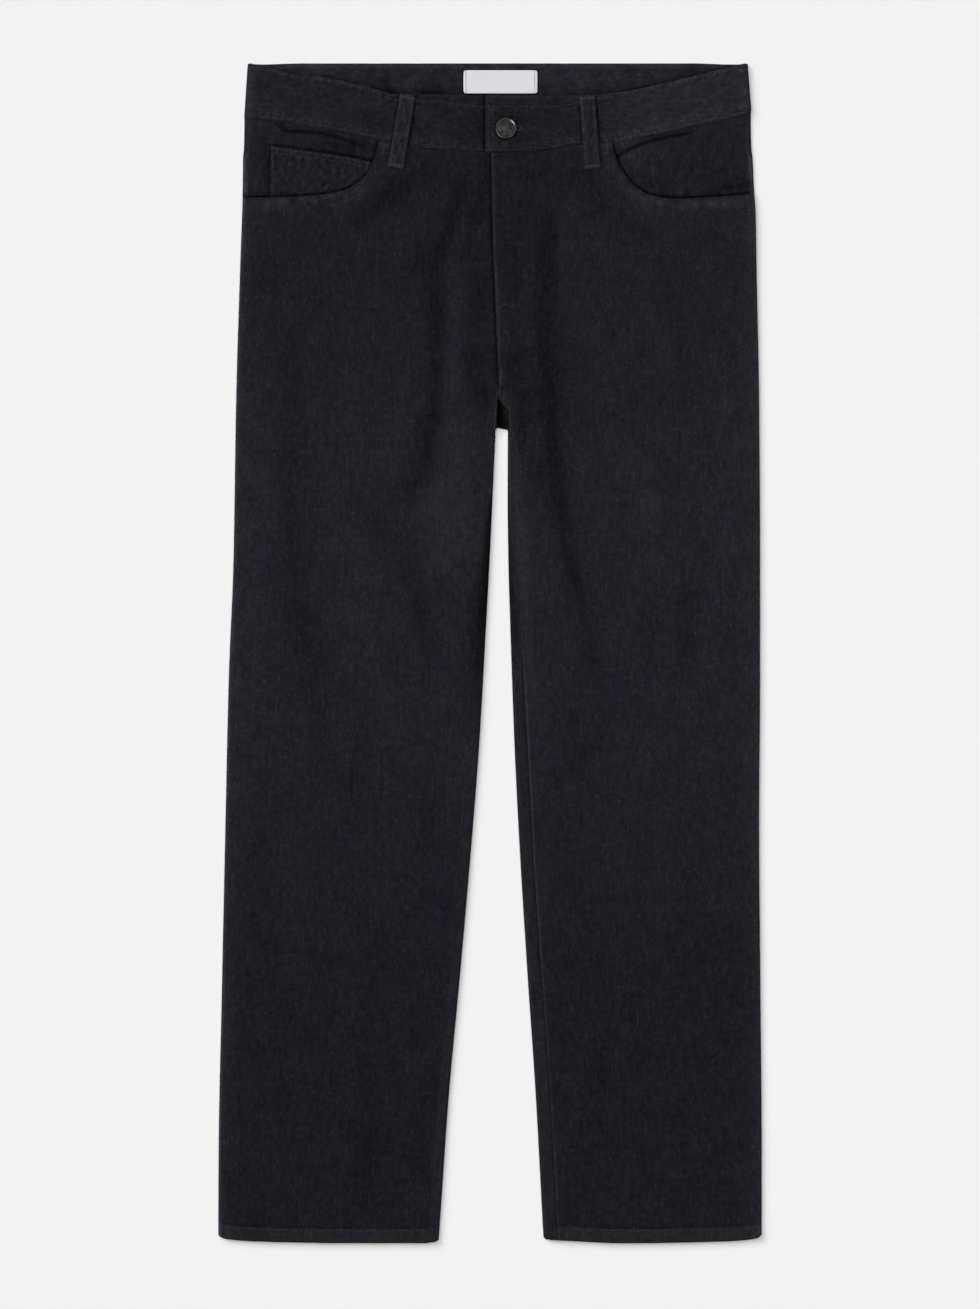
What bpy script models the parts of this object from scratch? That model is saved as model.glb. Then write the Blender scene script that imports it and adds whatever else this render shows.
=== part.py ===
"""Straight leg jeans laid flat on a surface, front up.

Frame: +X to the wearer's left, +Y from hem to waist, +Z up, the surface at z = 0, origin under the
middle of the garment. Tables are in millimetres. Left and right are the wearer's.
"""
import math
from collections import namedtuple

import bmesh
import bpy
import numpy as np

MM = 0.001

# Cloth walls and clearances
DENIM = 1.2
HEM_WALL = 2.4
BAND_WALL = 2.6
FACING_WALL = 1.0
COIN_WALL = 1.0
LOOP_WALL = 1.4
BACK_LOOP_WALL = 1.1
PATCH_WALL = 1.0
LABEL_WALL = 1.0
ZIP_WALL = 1.0
SEAM_GAP = 0.3           # between pieces that are sewn edge to edge
FRONT_BAND_GAP = 0.4     # below the waistband's curved front edge
YOKE_BAND_GAP = 0.8      # below its back edge, which turns up round the side folds

# Heights of the layers above the surface
BACK_LIFT = 1.4          # seat of the back panels, which lies on the patch pockets and back loops
FACING_TOP = 3.9
COIN_TOP = 5.2
HIP_TOP = 6.8            # outside of the front panels at the hip
LEG_TOP = 6.0            # outside of the front panels along the legs
BAND_TOP = 8.0           # outside of the waistband's front layer
BAND_UNDER_TOP = 7.1     # the band's end that lies beneath at centre front
BAND_OVER_TOP = 10.0     # the band's end that laps on top
FLY_RAISE = 0.8          # left front over the fly facing
ZIP_BOTTOM = 3.1

# Where one height or width passes softly into another: (start, end)
SEAT_SIDE_REACH = (9.0, 30.0)      # seat lift, inwards from the side seam
SEAT_CROTCH_REACH = (168.0, 206.0)  # seat lift, up from below the crotch
HIP_REACH = (300.0, 350.0)         # front height, leg to hip
SCOOP_FOLD_REACH = (378.0, 385.0)  # side fold, front panel to pocket facing
FLY_REACH = (42.0, 30.0)           # fly raise, inwards from centre front
FLY_FOOT_REACH = (232.0, 262.0)    # fly raise, up from the end of the fly
LAP_REACH = (70.0, 42.0)           # band's lap, from the side to the centre
UNDER_REACH = (-50.0, -12.0)       # band's under end, from the side to the centre

# Lengths and widths
HEM_Y = -507.0
HEM_DEPTH = 12.5
WAIST_Y = 507.0
LOOP_WIDTH = 13.4
BUTTON_RADIUS = 9.0
BUTTON_HEIGHT = 3.9
BUTTON_PLACE = (13.8, 451.5)
FACING_BEYOND_SCOOP = 8.0
LAP_END_X = -3.9         # end of the band's lap, at centre front
UNDER_END_X = 34.8       # end of the band beneath the lap
LABEL_SIZE = (63.6, 21.5)
LABEL_PLACE = (9.0, 491.0)

WEARER_SIDES = {"right": -1.0, "left": 1.0}

# Side seam: height, right, left
SIDE_SEAM = (
    (507.0, -208.4, 222.4),
    (468.0, -210.7, 224.7),
    (400.0, -212.6, 227.2),
    (330.0, -214.6, 229.4),
    (218.0, -217.8, 231.6),
    (80.0, -219.9, 232.6),
    (-20.0, -223.8, 232.6),
    (-150.0, -227.2, 231.6),
    (-290.0, -230.4, 232.6),
    (-430.0, -233.6, 233.8),
    (-507.0, -233.9, 233.8),
)

# Inner fold of each leg: height, right leg, left leg
INNER_FOLD = (
    (194.0, 4.8, 15.9),
    (131.6, 2.0, 16.0),
    (80.0, -0.4, 16.6),
    (28.4, -3.4, 18.0),
    (-74.8, -9.2, 21.4),
    (-178.0, -17.2, 26.4),
    (-281.2, -26.4, 33.0),
    (-384.4, -36.0, 40.2),
    (-507.0, -44.2, 46.0),
)

# How far the hem rises towards a leg's corners: distance from the side seam or inner fold, rise
OUTER_HEM_RISE = ((0.0, 7.4), (3.0, 4.8), (9.0, 3.2), (32.0, 1.5), (95.0, 0.0))
INNER_HEM_RISE = {
    "right": ((0.0, 2.8), (3.0, 1.2), (11.0, 0.0)),
    "left": ((0.0, 5.0), (2.5, 3.2), (30.0, 1.5), (58.0, 0.0)),
}

# Centre front, down to the front crotch: height, x
FRONT_CROTCH_Y = 230.0
CENTRE_FRONT = ((450.0, 0.3), (350.0, 2.4), (290.0, 5.0), (FRONT_CROTCH_Y, 7.3))

# Inseam, which runs on the front of each leg: height, right leg, left leg
INSEAM = (
    (FRONT_CROTCH_Y, 7.3, 7.3),
    (224.0, 5.0, 14.0),
    (216.0, 4.4, 17.2),
    (203.0, 2.0, 19.7),
    (190.0, -1.3, 21.6),
    (131.6, -3.4, 21.6),
    (28.4, -10.6, 26.4),
    (-74.8, -17.8, 32.8),
    (-178.0, -26.4, 38.2),
    (-281.2, -35.7, 45.4),
    (-384.4, -45.0, 52.4),
    (-506.5, -53.6, 58.8),
)

# Edges of the waistband's front layer: x, top, bottom
BAND_EDGES = (
    (-208.0, 505.4, 461.0),
    (-190.0, 503.4, 459.0),
    (-172.0, 496.0, 456.8),
    (-142.0, 492.8, 451.6),
    (-111.0, 488.5, 445.4),
    (-78.0, 480.0, 438.8),
    (-37.0, 477.2, 433.4),
    (0.4, 476.3, 432.2),
    (42.0, 476.8, 433.4),
    (78.0, 478.2, 438.6),
    (108.0, 482.5, 442.4),
    (141.0, 487.3, 449.6),
    (175.0, 495.4, 457.1),
    (205.0, 502.3, 463.0),
    (222.5, 505.4, 468.4),
)

# Bottom edge of the waistband's back layer: x, height
BACK_BAND_BOTTOM = (
    (-208.0, 461.0),
    (-188.0, 462.8),
    (180.0, 463.0),
    (205.0, 465.0),
    (222.5, 468.4),
)

# Scooped pocket edge from the waistband to the side seam: x, height
SCOOP = {
    "right": ((-95.0, 442.0), (-99.3, 427.4), (-104.5, 415.0), (-112.5, 405.8), (-127.0, 398.0),
              (-153.5, 393.9), (-180.0, 392.2), (-222.0, 392.0)),
    "left": ((104.6, 442.0), (107.9, 427.4), (114.8, 413.7), (124.0, 402.8), (137.0, 394.6),
             (158.0, 391.2), (191.4, 392.4), (238.0, 396.4)),
}

# Coin pocket opening along its top edge: x, height
COIN_TOP_EDGE = ((-188.5, 436.6), (-162.0, 432.8), (-130.3, 428.5), (-98.0, 422.0))

# Yoke seam on the back: distance from centre back, height
YOKE_SEAM = ((0.0, 393.0), (110.0, 409.0), (222.0, 428.0))

# Main creases of the front: depth (down is negative), half width, path of (x, y)
Crease = namedtuple("Crease", "depth half_width path")
CREASES = (
    Crease(-1.7, 12.0, ((52, 412), (49, 347), (46, 289), (43, 220), (54, 146), (69, 88), (84, 14))),
    Crease(-1.4, 11.0, ((-25, 412), (-36, 364), (-54, 329))),
    Crease(-1.0, 10.0, ((-48, 318), (-45, 243), (-54, 163))),
    Crease(-0.8, 10.0, ((-94, 123), (-60, 71), (-54, 31))),
    Crease(-0.9, 12.0, ((-112, 372), (-84, 392), (-40, 424))),
    Crease(-0.6, 15.0, ((-163, 289), (-169, 146), (-157, -15))),
    Crease(-0.5, 15.0, ((175, 60), (170, -32))),
    Crease(0.3, 9.0, ((-24, 324), (-27, 273), (-33, 200))),
)

# Belt loops: x at the top, y at the top, x at the bottom, y at the bottom
LoopPlace = namedtuple("LoopPlace", "top_x top_y bottom_x bottom_y")
FRONT_LOOPS = {
    "belt_loop_front_right": LoopPlace(-70.5, 480.4, -81.0, 417.0),
    "belt_loop_front_left": LoopPlace(83.6, 479.6, 88.6, 416.4),
}
BACK_LOOPS = {
    "belt_loop_back_right": LoopPlace(-128.0, 506.0, -128.0, 444.0),
    "belt_loop_back_centre": LoopPlace(7.5, 506.0, 7.5, 444.0),
    "belt_loop_back_left": LoopPlace(143.0, 506.0, 143.0, 444.0),
}

# Patch pocket outline, from its middle: x, y down from its top edge
PATCH_OUTLINE = ((-76.0, 0.0), (76.0, 0.0), (70.0, -130.0), (0.0, -157.0), (-70.0, -130.0))
PATCH_CENTRE_X = 102.0
PATCH_TOP_Y = 374.0
PATCH_TILT = math.radians(3.0)

# Zip: how far its edges lie inwards of the fly's edge, and its two ends
ZIP_EDGES = (6.0, 24.0)
ZIP_ENDS = (428.0, 262.0)

BUTTON_STEPS = 28
# Turned outline of the shank button: radius, height
BUTTON_PROFILE = (
    (0.0, 3.1),
    (5.2, 3.1),
    (5.9, 3.5),
    (6.6, 3.1),
    (7.5, 3.2),
    (8.2, BUTTON_HEIGHT),
    (8.8, 3.6),
    (BUTTON_RADIUS, 2.8),
    (8.6, 1.9),
    (7.4, 1.4),
    (4.2, 1.2),
    (4.2, 0.0),
    (0.0, 0.0),
)

CENTRE_BACK = ((463.0, 7.5), (300.0, 8.5), (194.0, 10.6))

DENIM_INK = (0.0145, 0.0140, 0.0185)
DENIM_FACING = (0.0120, 0.0117, 0.0155)
METAL = (0.046, 0.042, 0.039)
LABEL_WHITE = (0.70, 0.69, 0.73)
ZIP_BLACK = (0.012, 0.012, 0.014)


def clear_scene():
    for obj in list(bpy.data.objects):
        bpy.data.objects.remove(obj, do_unlink=True)


def new_collection(name):
    collection = bpy.data.collections.new(name)
    bpy.context.scene.collection.children.link(collection)
    return collection


def smooth_curve(points):
    """Monotone cubic through (position, value) points, held level past both ends."""
    xs, ys = np.array(sorted(points), dtype=float).T
    slopes = np.diff(ys) / np.diff(xs)
    tangents = np.empty_like(ys)
    tangents[0], tangents[-1] = slopes[0], slopes[-1]
    before, after = slopes[:-1], slopes[1:]
    steady = before * after > 0
    total = np.where(steady, before + after, 1.0)
    tangents[1:-1] = np.where(steady, 2.0 * before * after / total, 0.0)

    def value(position):
        x = np.clip(position, xs[0], xs[-1])
        i = np.clip(np.searchsorted(xs, x) - 1, 0, len(xs) - 2)
        width = xs[i + 1] - xs[i]
        t = (x - xs[i]) / width
        start = ys[i] * (1 + 2 * t) * (1 - t) ** 2 + tangents[i] * width * t * (1 - t) ** 2
        return start + ys[i + 1] * t * t * (3 - 2 * t) + tangents[i + 1] * width * t * t * (t - 1)

    return value


def column(table, place):
    """Smooth curve of one named column of a table against its first column."""
    return smooth_curve([(row[0], row[place]) for row in table])


def ramp(value, start, end):
    """0 at start, 1 at end, soft at both."""
    t = np.clip((value - start) / (end - start), 0.0, 1.0)
    return t * t * (3 - 2 * t)


side_seam = {"right": column(SIDE_SEAM, 1), "left": column(SIDE_SEAM, 2)}
inner_fold = {"right": column(INNER_FOLD, 1), "left": column(INNER_FOLD, 2)}
inseam = {"right": column(INSEAM, 1), "left": column(INSEAM, 2)}
centre_front = smooth_curve(CENTRE_FRONT)
band_top_edge = column(BAND_EDGES, 1)
band_bottom_edge = column(BAND_EDGES, 2)
back_band_bottom = smooth_curve(BACK_BAND_BOTTOM)
yoke_seam = smooth_curve(YOKE_SEAM)
centre_back = smooth_curve(CENTRE_BACK)
outer_hem_rise = smooth_curve(OUTER_HEM_RISE)
inner_hem_rise = {side: smooth_curve(INNER_HEM_RISE[side]) for side in INNER_HEM_RISE}
scoop_edge = {side: smooth_curve(SCOOP[side]) for side in SCOOP}
coin_top_edge = smooth_curve(COIN_TOP_EDGE)


def crease_height(x, y):
    """Height that the creases add to the front at (x, y): soft troughs along their paths."""
    total = np.zeros_like(x)
    for crease in CREASES:
        path = np.array(crease.path, dtype=float)
        lengths = np.hypot(*np.diff(path, axis=0).T)
        reach = np.concatenate(([0.0], np.cumsum(lengths)))
        nearest = np.full_like(x, 1e9)
        along = np.zeros_like(x)
        for start, end, length, done in zip(path[:-1], path[1:], lengths, reach):
            way = (end - start) / length
            step = np.clip((x - start[0]) * way[0] + (y - start[1]) * way[1], 0.0, length)
            distance = np.hypot(x - start[0] - step * way[0], y - start[1] - step * way[1])
            closer = distance < nearest
            nearest = np.where(closer, distance, nearest)
            along = np.where(closer, (done + step) / reach[-1], along)
        fade = ramp(along, 0.0, 0.2) * ramp(along, 1.0, 0.65)
        total += crease.depth * fade * np.exp(-(nearest / crease.half_width) ** 2)
    return total


def seat_lift(x, y, side):
    """How far the seat of the back lies off the surface, over its patch pockets and loops."""
    inwards = np.abs(side_seam[side](y) - x)
    return BACK_LIFT * ramp(inwards, *SEAT_SIDE_REACH) * ramp(y, *SEAT_CROTCH_REACH)


def front_inner(y, side):
    """Inner edge of a front panel: centre front above the crotch, the inseam below it."""
    return np.where(y >= FRONT_CROTCH_Y, centre_front(y), inseam[side](y))


def front_top(y):
    """Height of the front panels' outside, a little more at the hip than along the legs."""
    return LEG_TOP + (HIP_TOP - LEG_TOP) * ramp(y, *HIP_REACH)


def fold_height(y):
    """Height of the folded side edge: lower where only the pocket facing reaches it."""
    return front_top(y) + (FACING_TOP - HIP_TOP) * ramp(y, *SCOOP_FOLD_REACH)


def grid_object(name, points, material, collection, wall, flipped=False, thick_rows=()):
    """Cloth from an open grid of outside points, with a wall inside it.

    thick_rows are the rows whose wall is HEM_WALL, where the hem is turned up.
    """
    rows, columns, _ = points.shape
    index = np.arange(rows * columns).reshape(rows, columns)
    quads = np.stack((index[:-1, :-1], index[:-1, 1:], index[1:, 1:], index[1:, :-1]), axis=-1)
    quads = quads.reshape(-1, 4)
    if flipped:
        quads = quads[:, ::-1]
    mesh = bpy.data.meshes.new(name)
    mesh.from_pydata((points.reshape(-1, 3) * MM).tolist(), [], quads.tolist())
    mesh.validate()
    obj = bpy.data.objects.new(name, mesh)
    collection.objects.link(obj)
    mesh.materials.append(material)
    solidify = obj.modifiers.new("wall", "SOLIDIFY")
    solidify.thickness = wall * MM
    solidify.offset = -1.0
    solidify.use_even_offset = True
    solidify.use_quality_normals = True
    if thick_rows:
        group = obj.vertex_groups.new(name="turned_hem")
        group.add(index[list(thick_rows)].ravel().tolist(), 1.0, "REPLACE")
        solidify.vertex_group = "turned_hem"
        solidify.thickness = HEM_WALL * MM
        solidify.thickness_vertex_group = wall / HEM_WALL
    return obj


def material_of(name, colour, roughness, metallic=0.0):
    material = bpy.data.materials.new(name)
    material.use_nodes = True
    shader = material.node_tree.nodes["Principled BSDF"]
    shader.inputs["Base Color"].default_value = (*colour, 1.0)
    shader.inputs["Roughness"].default_value = roughness
    shader.inputs["Metallic"].default_value = metallic
    return material


def hem_lift(x, side):
    """How far the hem rises towards the leg's two corners."""
    from_seam = np.abs(x - side_seam[side](HEM_Y))
    from_fold = np.abs(x - inner_fold[side](HEM_Y))
    return outer_hem_rise(from_seam) + inner_hem_rise[side](from_fold)


def bend_rows(nominal, x, top_nominal, top_y, level_y, side):
    """Row heights that follow a curved top edge and the hem, and run level between them."""
    top_weight = np.clip((nominal - level_y) / (top_nominal - level_y), 0.0, 1.0)
    hem_weight = np.clip((nominal - HEM_BEND_Y) / (HEM_Y - HEM_BEND_Y), 0.0, 1.0)
    return nominal + top_weight * (top_y - top_nominal) + hem_weight * hem_lift(x, side)


FOLD_RISE = np.radians((5.0, 14.0, 34.0, 62.0, 90.0))
FOLD_TURN = np.radians((14.0, 14.0, 34.0, 62.0, 90.0))
FOLD_COUNT = len(FOLD_RISE)
INNER_ANGLES = np.radians((-90.0, -60.0, -30.0, 0.0, 30.0, 60.0, 90.0))

# Heights of the rows of points, from the top edge down. Fronts and backs share those of the legs.
LEG_ROWS = (188, 172, 154, 134, 112, 90, 66, 42, 16, -12, -45, -85, -140, -210, -290, -380, -460,
            HEM_Y + HEM_DEPTH + 0.6, HEM_Y + HEM_DEPTH - 0.6, HEM_Y)
FRONT_ROWS = np.array((450, 436, 422, 408, 393, 378, 362, 346, 330, 313, 296, 279, 262, 246, 236,
                       231, 227, 223, 216, 208, 198) + LEG_ROWS, dtype=float)
BACK_ROWS = np.array((410, 400, 390, 384, 378, 371, 364, 356, 330, 300, 250, 212, 203,
                      196) + LEG_ROWS, dtype=float)

HEM_ROWS = (-2, -1)
HEM_BEND_Y = -440.0
FRONT_TOP_Y = FRONT_ROWS[0]
FRONT_LEVEL_Y = 380.0
BACK_TOP_Y = BACK_ROWS[0]
BACK_LEVEL_Y = 340.0
BACK_CROTCH_Y = 193.0
YOKE_TOP_Y = 463.0
CENTRE_BACK_WEB = 8.0


def front_points(side):
    """Outside of a front panel: a quarter fold at the side seam, then across the top."""
    sign = WEARER_SIDES[side]
    level = FRONT_ROWS[:, None]
    outer = side_seam[side](level)
    radius = front_top(level) / 2
    fold_x = outer - sign * radius * (1 - np.cos(FOLD_TURN))
    fold_z = radius * (1 + np.sin(FOLD_RISE))
    inner = front_inner(level, side) + sign * SEAM_GAP / 2
    share = 1 - np.linspace(1, 0, 20)[1:] ** 1.25
    across_x = fold_x[:, -1:] + (inner - fold_x[:, -1:]) * share
    x = np.hstack((fold_x, across_x))
    top_y = band_bottom_edge(x) - FRONT_BAND_GAP
    y = bend_rows(level, x, FRONT_TOP_Y, top_y, FRONT_LEVEL_Y, side)
    flat = ramp(np.abs(outer - x), 4.0, 16.0)
    across_z = front_top(level) + flat[:, FOLD_COUNT:] * crease_height(across_x, y[:, FOLD_COUNT:])
    z = np.hstack((fold_z, across_z))
    if side == "left":
        near_fly = ramp(x - front_inner(level, side), *FLY_REACH)
        z = z + FLY_RAISE * near_fly * ramp(y, *FLY_FOOT_REACH)
    return np.dstack((x, y, z))


def back_points(side):
    """Outside of a back panel: side fold, flat underside, and round the inner fold to the inseam."""
    sign = WEARER_SIDES[side]
    level = BACK_ROWS[:, None]
    outer = side_seam[side](level)
    side_y = bend_rows(level, outer, BACK_TOP_Y, yoke_seam(np.abs(outer)), BACK_LEVEL_Y, side)
    radius = fold_height(side_y) / 2
    fold_x = outer - sign * radius * (1 - np.cos(FOLD_TURN))
    fold_z = radius * (1 - np.sin(FOLD_RISE))
    leg = level < BACK_CROTCH_Y
    leg_radius = LEG_TOP / 2
    round_x = inner_fold[side](level) + sign * leg_radius * (1 - np.cos(INNER_ANGLES))
    crotch_gap = 1.2 * ramp(level, 165.0, 189.0)
    seam_x = front_inner(level, side) - sign * (SEAM_GAP / 2 + crotch_gap)
    leg_x = np.hstack((round_x, seam_x))
    leg_z = np.broadcast_to(np.append(leg_radius * (1 + np.sin(INNER_ANGLES)), LEG_TOP), leg_x.shape)
    middle = centre_back(level) + sign * SEAM_GAP / 2
    hip_x = middle + sign * np.linspace(CENTRE_BACK_WEB, 0.0, leg_x.shape[1])
    inner_x = np.where(leg, leg_x, hip_x)
    share = np.linspace(0, 1, 9)[1:-1]
    across_x = fold_x[:, -1:] + (inner_x[:, :1] - fold_x[:, -1:]) * share
    x = np.hstack((fold_x, across_x, inner_x))
    seam_y = yoke_seam(np.abs(x - centre_back(level))) - SEAM_GAP / 2
    y = bend_rows(level, x, BACK_TOP_Y, seam_y, BACK_LEVEL_Y, side)
    z = np.hstack((fold_z, np.zeros_like(across_x), np.where(leg, leg_z, 0.0)))
    seat = np.hstack((0 * fold_z, 1 + 0 * across_x, np.where(leg, 0.0, 1 + 0 * leg_z)))
    z = z + seat * seat_lift(x, y, side)
    return np.dstack((x, y, z))


def yoke_points(side):
    """Outside of a back yoke, from the waistband down to the yoke seam."""
    sign = WEARER_SIDES[side]
    share = np.linspace(0, 1, 5)[:, None]
    level = YOKE_TOP_Y + (BACK_TOP_Y - YOKE_TOP_Y) * share
    outer = side_seam[side](level)
    radius = fold_height(level) / 2
    fold_x = outer - sign * radius * (1 - np.cos(FOLD_TURN))
    fold_z = radius * (1 - np.sin(FOLD_RISE))
    middle = centre_back(level) + sign * SEAM_GAP / 2
    across_x = fold_x[:, -1:] + (middle - fold_x[:, -1:]) * np.linspace(0, 1, 9)[1:]
    x = np.hstack((fold_x, across_x))
    top_y = back_band_bottom(x) - YOKE_BAND_GAP
    bottom_y = yoke_seam(np.abs(x - centre_back(level))) + SEAM_GAP / 2
    y = top_y + (bottom_y - top_y) * share
    z = np.hstack((fold_z, seat_lift(across_x, y[:, FOLD_COUNT:], side)))
    return np.dstack((x, y, z))


def facing_points(side):
    """Outside of a pocket facing, which runs on a little beneath the scooped edge."""
    sign = WEARER_SIDES[side]
    share = np.linspace(0, 1, 8)[:, None]
    level = YOKE_TOP_Y + (scoop_edge[side](sign * 999.0) - YOKE_TOP_Y) * share
    outer = side_seam[side](level)
    radius = FACING_TOP / 2
    fold_x = outer - sign * radius * (1 - np.cos(FOLD_TURN))
    fold_z = radius * (1 + np.sin(FOLD_RISE)) + 0 * share
    inner = SCOOP[side][0][0] - sign * (FACING_BEYOND_SCOOP + 1.0)
    across = 1 - np.linspace(1, 0, 13)[1:] ** 1.3
    across_x = fold_x[:, -1:] + (inner - fold_x[:, -1:]) * across
    x = np.hstack((fold_x, across_x))
    z = np.hstack((fold_z, FACING_TOP + 0 * across_x))
    top_y = np.minimum(band_bottom_edge(x), back_band_bottom(x)) - SEAM_GAP
    hidden = ramp(np.abs(outer - x), 4.0, 9.0) * FACING_BEYOND_SCOOP
    bottom_y = scoop_edge[side](x + sign * FACING_BEYOND_SCOOP) + SEAM_GAP - hidden
    y = top_y + (np.minimum(bottom_y, top_y - 3.0) - top_y) * share
    return np.dstack((x, y, z))


def coin_points():
    """Outside of the coin pocket, a patch on the right facing whose far edge runs under the scoop."""
    share = np.linspace(0, 1, 5)[:, None]
    x = np.linspace(-188.5, -98.5, 10)[None, :] + 0 * share
    top_y = coin_top_edge(x)
    bottom_y = scoop_edge["right"](x - 5.0) - 4.0
    y = top_y + (np.minimum(bottom_y, top_y - 2.0) - top_y) * share
    return np.dstack((x, y, COIN_TOP + 0 * x))


def band_points():
    """Outside of the waistband from its lapped end, round both side folds, to its under end."""
    front_left_x = np.array((LAP_END_X, 12, 28, 42, 50, 58, 68, 84, 100, 120, 141, 160, 180, 200, 214.0))
    front_right_x = np.array((-200, -186, -172, -157, -142, -125, -108, -90, -70, -52, -34, -12, 10.0,
                              UNDER_END_X))
    back_x = np.array((214, 206, 198, 188, 170, 143, 100, 60, 30, 0, -30, -60, -95, -128, -160,
                       -182, -200.0))
    turn = np.radians((22.5, 67.5, 112.5, 157.5))

    def layer(x, top, bottom, z, lean=0.0):
        """Three rows of points from the top edge to the bottom edge, the top one lean further in."""
        return np.dstack((np.vstack((x - lean, x - lean / 2, x)),
                          np.vstack((top, (top + bottom) / 2, bottom)), np.vstack((z, z, z))))

    over = BAND_TOP + (BAND_OVER_TOP - BAND_TOP) * ramp(front_left_x, *LAP_REACH)
    under = BAND_TOP + (BAND_UNDER_TOP - BAND_TOP) * ramp(front_right_x, *UNDER_REACH)
    lift = BACK_LIFT * ramp(back_x, 206.0, 176.0) * ramp(back_x, -194.0, -164.0)
    back_top = WAIST_Y - 1.0 * (1 - lift / BACK_LIFT)

    def side_fold(edge_x, top_y, upwards):
        radius = BAND_TOP / 2
        sign = math.copysign(1.0, edge_x)
        angle = turn if not upwards else turn[::-1]
        x = edge_x - sign * radius * (1 - np.sin(angle))
        z = radius * (1 + np.cos(angle))
        share = (1 - np.cos(angle)) / 2
        bottom = band_bottom_edge(x) * (1 - share) + back_band_bottom(x) * share
        return layer(x, top_y + 0 * x, bottom, z, lean=sign * 2.2)

    left_fold = side_fold(224.7, 506.0, False)
    right_fold = side_fold(-210.7, 505.8, True)
    return np.concatenate((
        layer(front_left_x, band_top_edge(front_left_x), band_bottom_edge(front_left_x), over),
        left_fold,
        layer(back_x, back_top, back_band_bottom(back_x), lift),
        right_fold,
        layer(front_right_x, band_top_edge(front_right_x), band_bottom_edge(front_right_x), under),
    ), axis=1)


def loop_points(place, clearance, flipped):
    """Outside of a belt loop: tacked at both ends, a little proud over the waistband."""
    share = np.array((0.0, 0.06, 0.14, 0.3, 0.5, 0.68, 0.78, 0.86, 1.0))[:, None]
    x = place.top_x + (place.bottom_x - place.top_x) * share
    y = place.top_y + (place.bottom_y - place.top_y) * share
    across = np.array((-0.5, 0.5)) * LOOP_WIDTH
    run = math.hypot(place.bottom_x - place.top_x, place.bottom_y - place.top_y)
    side_x = (place.top_y - place.bottom_y) / run
    side_y = (place.bottom_x - place.top_x) / run
    if flipped:
        return np.dstack((x + across, y + 0 * across, 0 * x + 0 * across))
    on_band = ramp(y, band_bottom_edge(x) - 6.0, band_bottom_edge(x) + 1.0)
    rest = HIP_TOP + (BAND_TOP - HIP_TOP) * on_band
    arch = 0.9 * ramp(share, 0.06, 0.3) * ramp(share, 0.9, 0.6)
    z = rest + clearance + arch + LOOP_WALL
    return np.dstack((x + across * side_x, y + across * side_y, z + 0 * across))


def outline_plate(name, outline, thickness, bottom, material, collection):
    """Flat plate from a closed outline in millimetres."""
    data = bpy.data.curves.new(name, "CURVE")
    data.dimensions = "2D"
    data.fill_mode = "BOTH"
    data.extrude = thickness / 2 * MM
    spline = data.splines.new("POLY")
    spline.points.add(len(outline) - 1)
    for point, (x, y) in zip(spline.points, outline):
        point.co = (x * MM, y * MM, 0.0, 1.0)
    spline.use_cyclic_u = True
    curve = bpy.data.objects.new(name + "_outline", data)
    collection.objects.link(curve)
    curve.location.z = (bottom + thickness / 2) * MM
    bpy.context.view_layer.update()
    shape = curve.evaluated_get(bpy.context.evaluated_depsgraph_get())
    mesh = bpy.data.meshes.new_from_object(shape)
    work = bmesh.new()
    work.from_mesh(mesh)
    bmesh.ops.remove_doubles(work, verts=work.verts, dist=0.00001)
    bmesh.ops.recalc_face_normals(work, faces=work.faces)
    work.to_mesh(mesh)
    work.free()
    plate = bpy.data.objects.new(name, mesh)
    plate.matrix_world = curve.matrix_world.copy()
    collection.objects.link(plate)
    bpy.data.objects.remove(curve, do_unlink=True)
    mesh.materials.clear()
    if material:
        mesh.materials.append(material)
    return plate


def cut_scoop(panel, side, cutters):
    """Cut the pocket opening out of a front panel's upper outer corner."""
    sign = WEARER_SIDES[side]
    first, last = SCOOP[side][0][0], SCOOP[side][-1][0]
    share = np.linspace(0, 1, 17) ** 1.7
    x = first + (last - first) * share
    edge = list(zip(x, scoop_edge[side](x)))
    corner = [(last + sign * 10, edge[-1][1]), (last + sign * 10, 490.0), (first - sign * 0.5, 490.0)]
    cutter = outline_plate("scoop_cutter_" + side, edge + corner, 30.0, -10.0, None, cutters)
    cutter.hide_render = True
    cutter.display_type = "WIRE"
    cut = panel.modifiers.new("pocket_opening", "BOOLEAN")
    cut.operation = "DIFFERENCE"
    cut.solver = "EXACT"
    cut.object = cutter


def make_button(material, collection):
    """Turned shank button: a foot on the band, a dished face and a raised rim."""
    mesh = bpy.data.meshes.new("button")
    points = [(x * MM, 0.0, z * MM) for x, z in BUTTON_PROFILE]
    mesh.from_pydata(points, [(i, i + 1) for i in range(len(points) - 1)], [])
    button = bpy.data.objects.new("button", mesh)
    collection.objects.link(button)
    mesh.materials.append(material)
    screw = button.modifiers.new("turn", "SCREW")
    screw.steps = BUTTON_STEPS
    screw.render_steps = BUTTON_STEPS
    screw.use_merge_vertices = True
    screw.merge_threshold = 0.00001
    button.location = (BUTTON_PLACE[0] * MM, BUTTON_PLACE[1] * MM, (BAND_OVER_TOP + SEAM_GAP) * MM)


def patch_outline(side):
    """Five-cornered patch pocket outline, tilted with the yoke."""
    sign = WEARER_SIDES[side]
    middle = 8.0 + sign * PATCH_CENTRE_X
    cos, sin = math.cos(sign * PATCH_TILT), math.sin(sign * PATCH_TILT)
    return [(middle + x * cos - y * sin, PATCH_TOP_Y + x * sin + y * cos) for x, y in PATCH_OUTLINE]


def zip_outline():
    """Zip beneath the fly lap, along centre front."""
    heights = np.linspace(*ZIP_ENDS, 6)
    near = [(float(centre_front(y)) + ZIP_EDGES[0], y) for y in heights]
    far = [(float(centre_front(y)) + ZIP_EDGES[1], y) for y in heights[::-1]]
    return near + far


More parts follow.
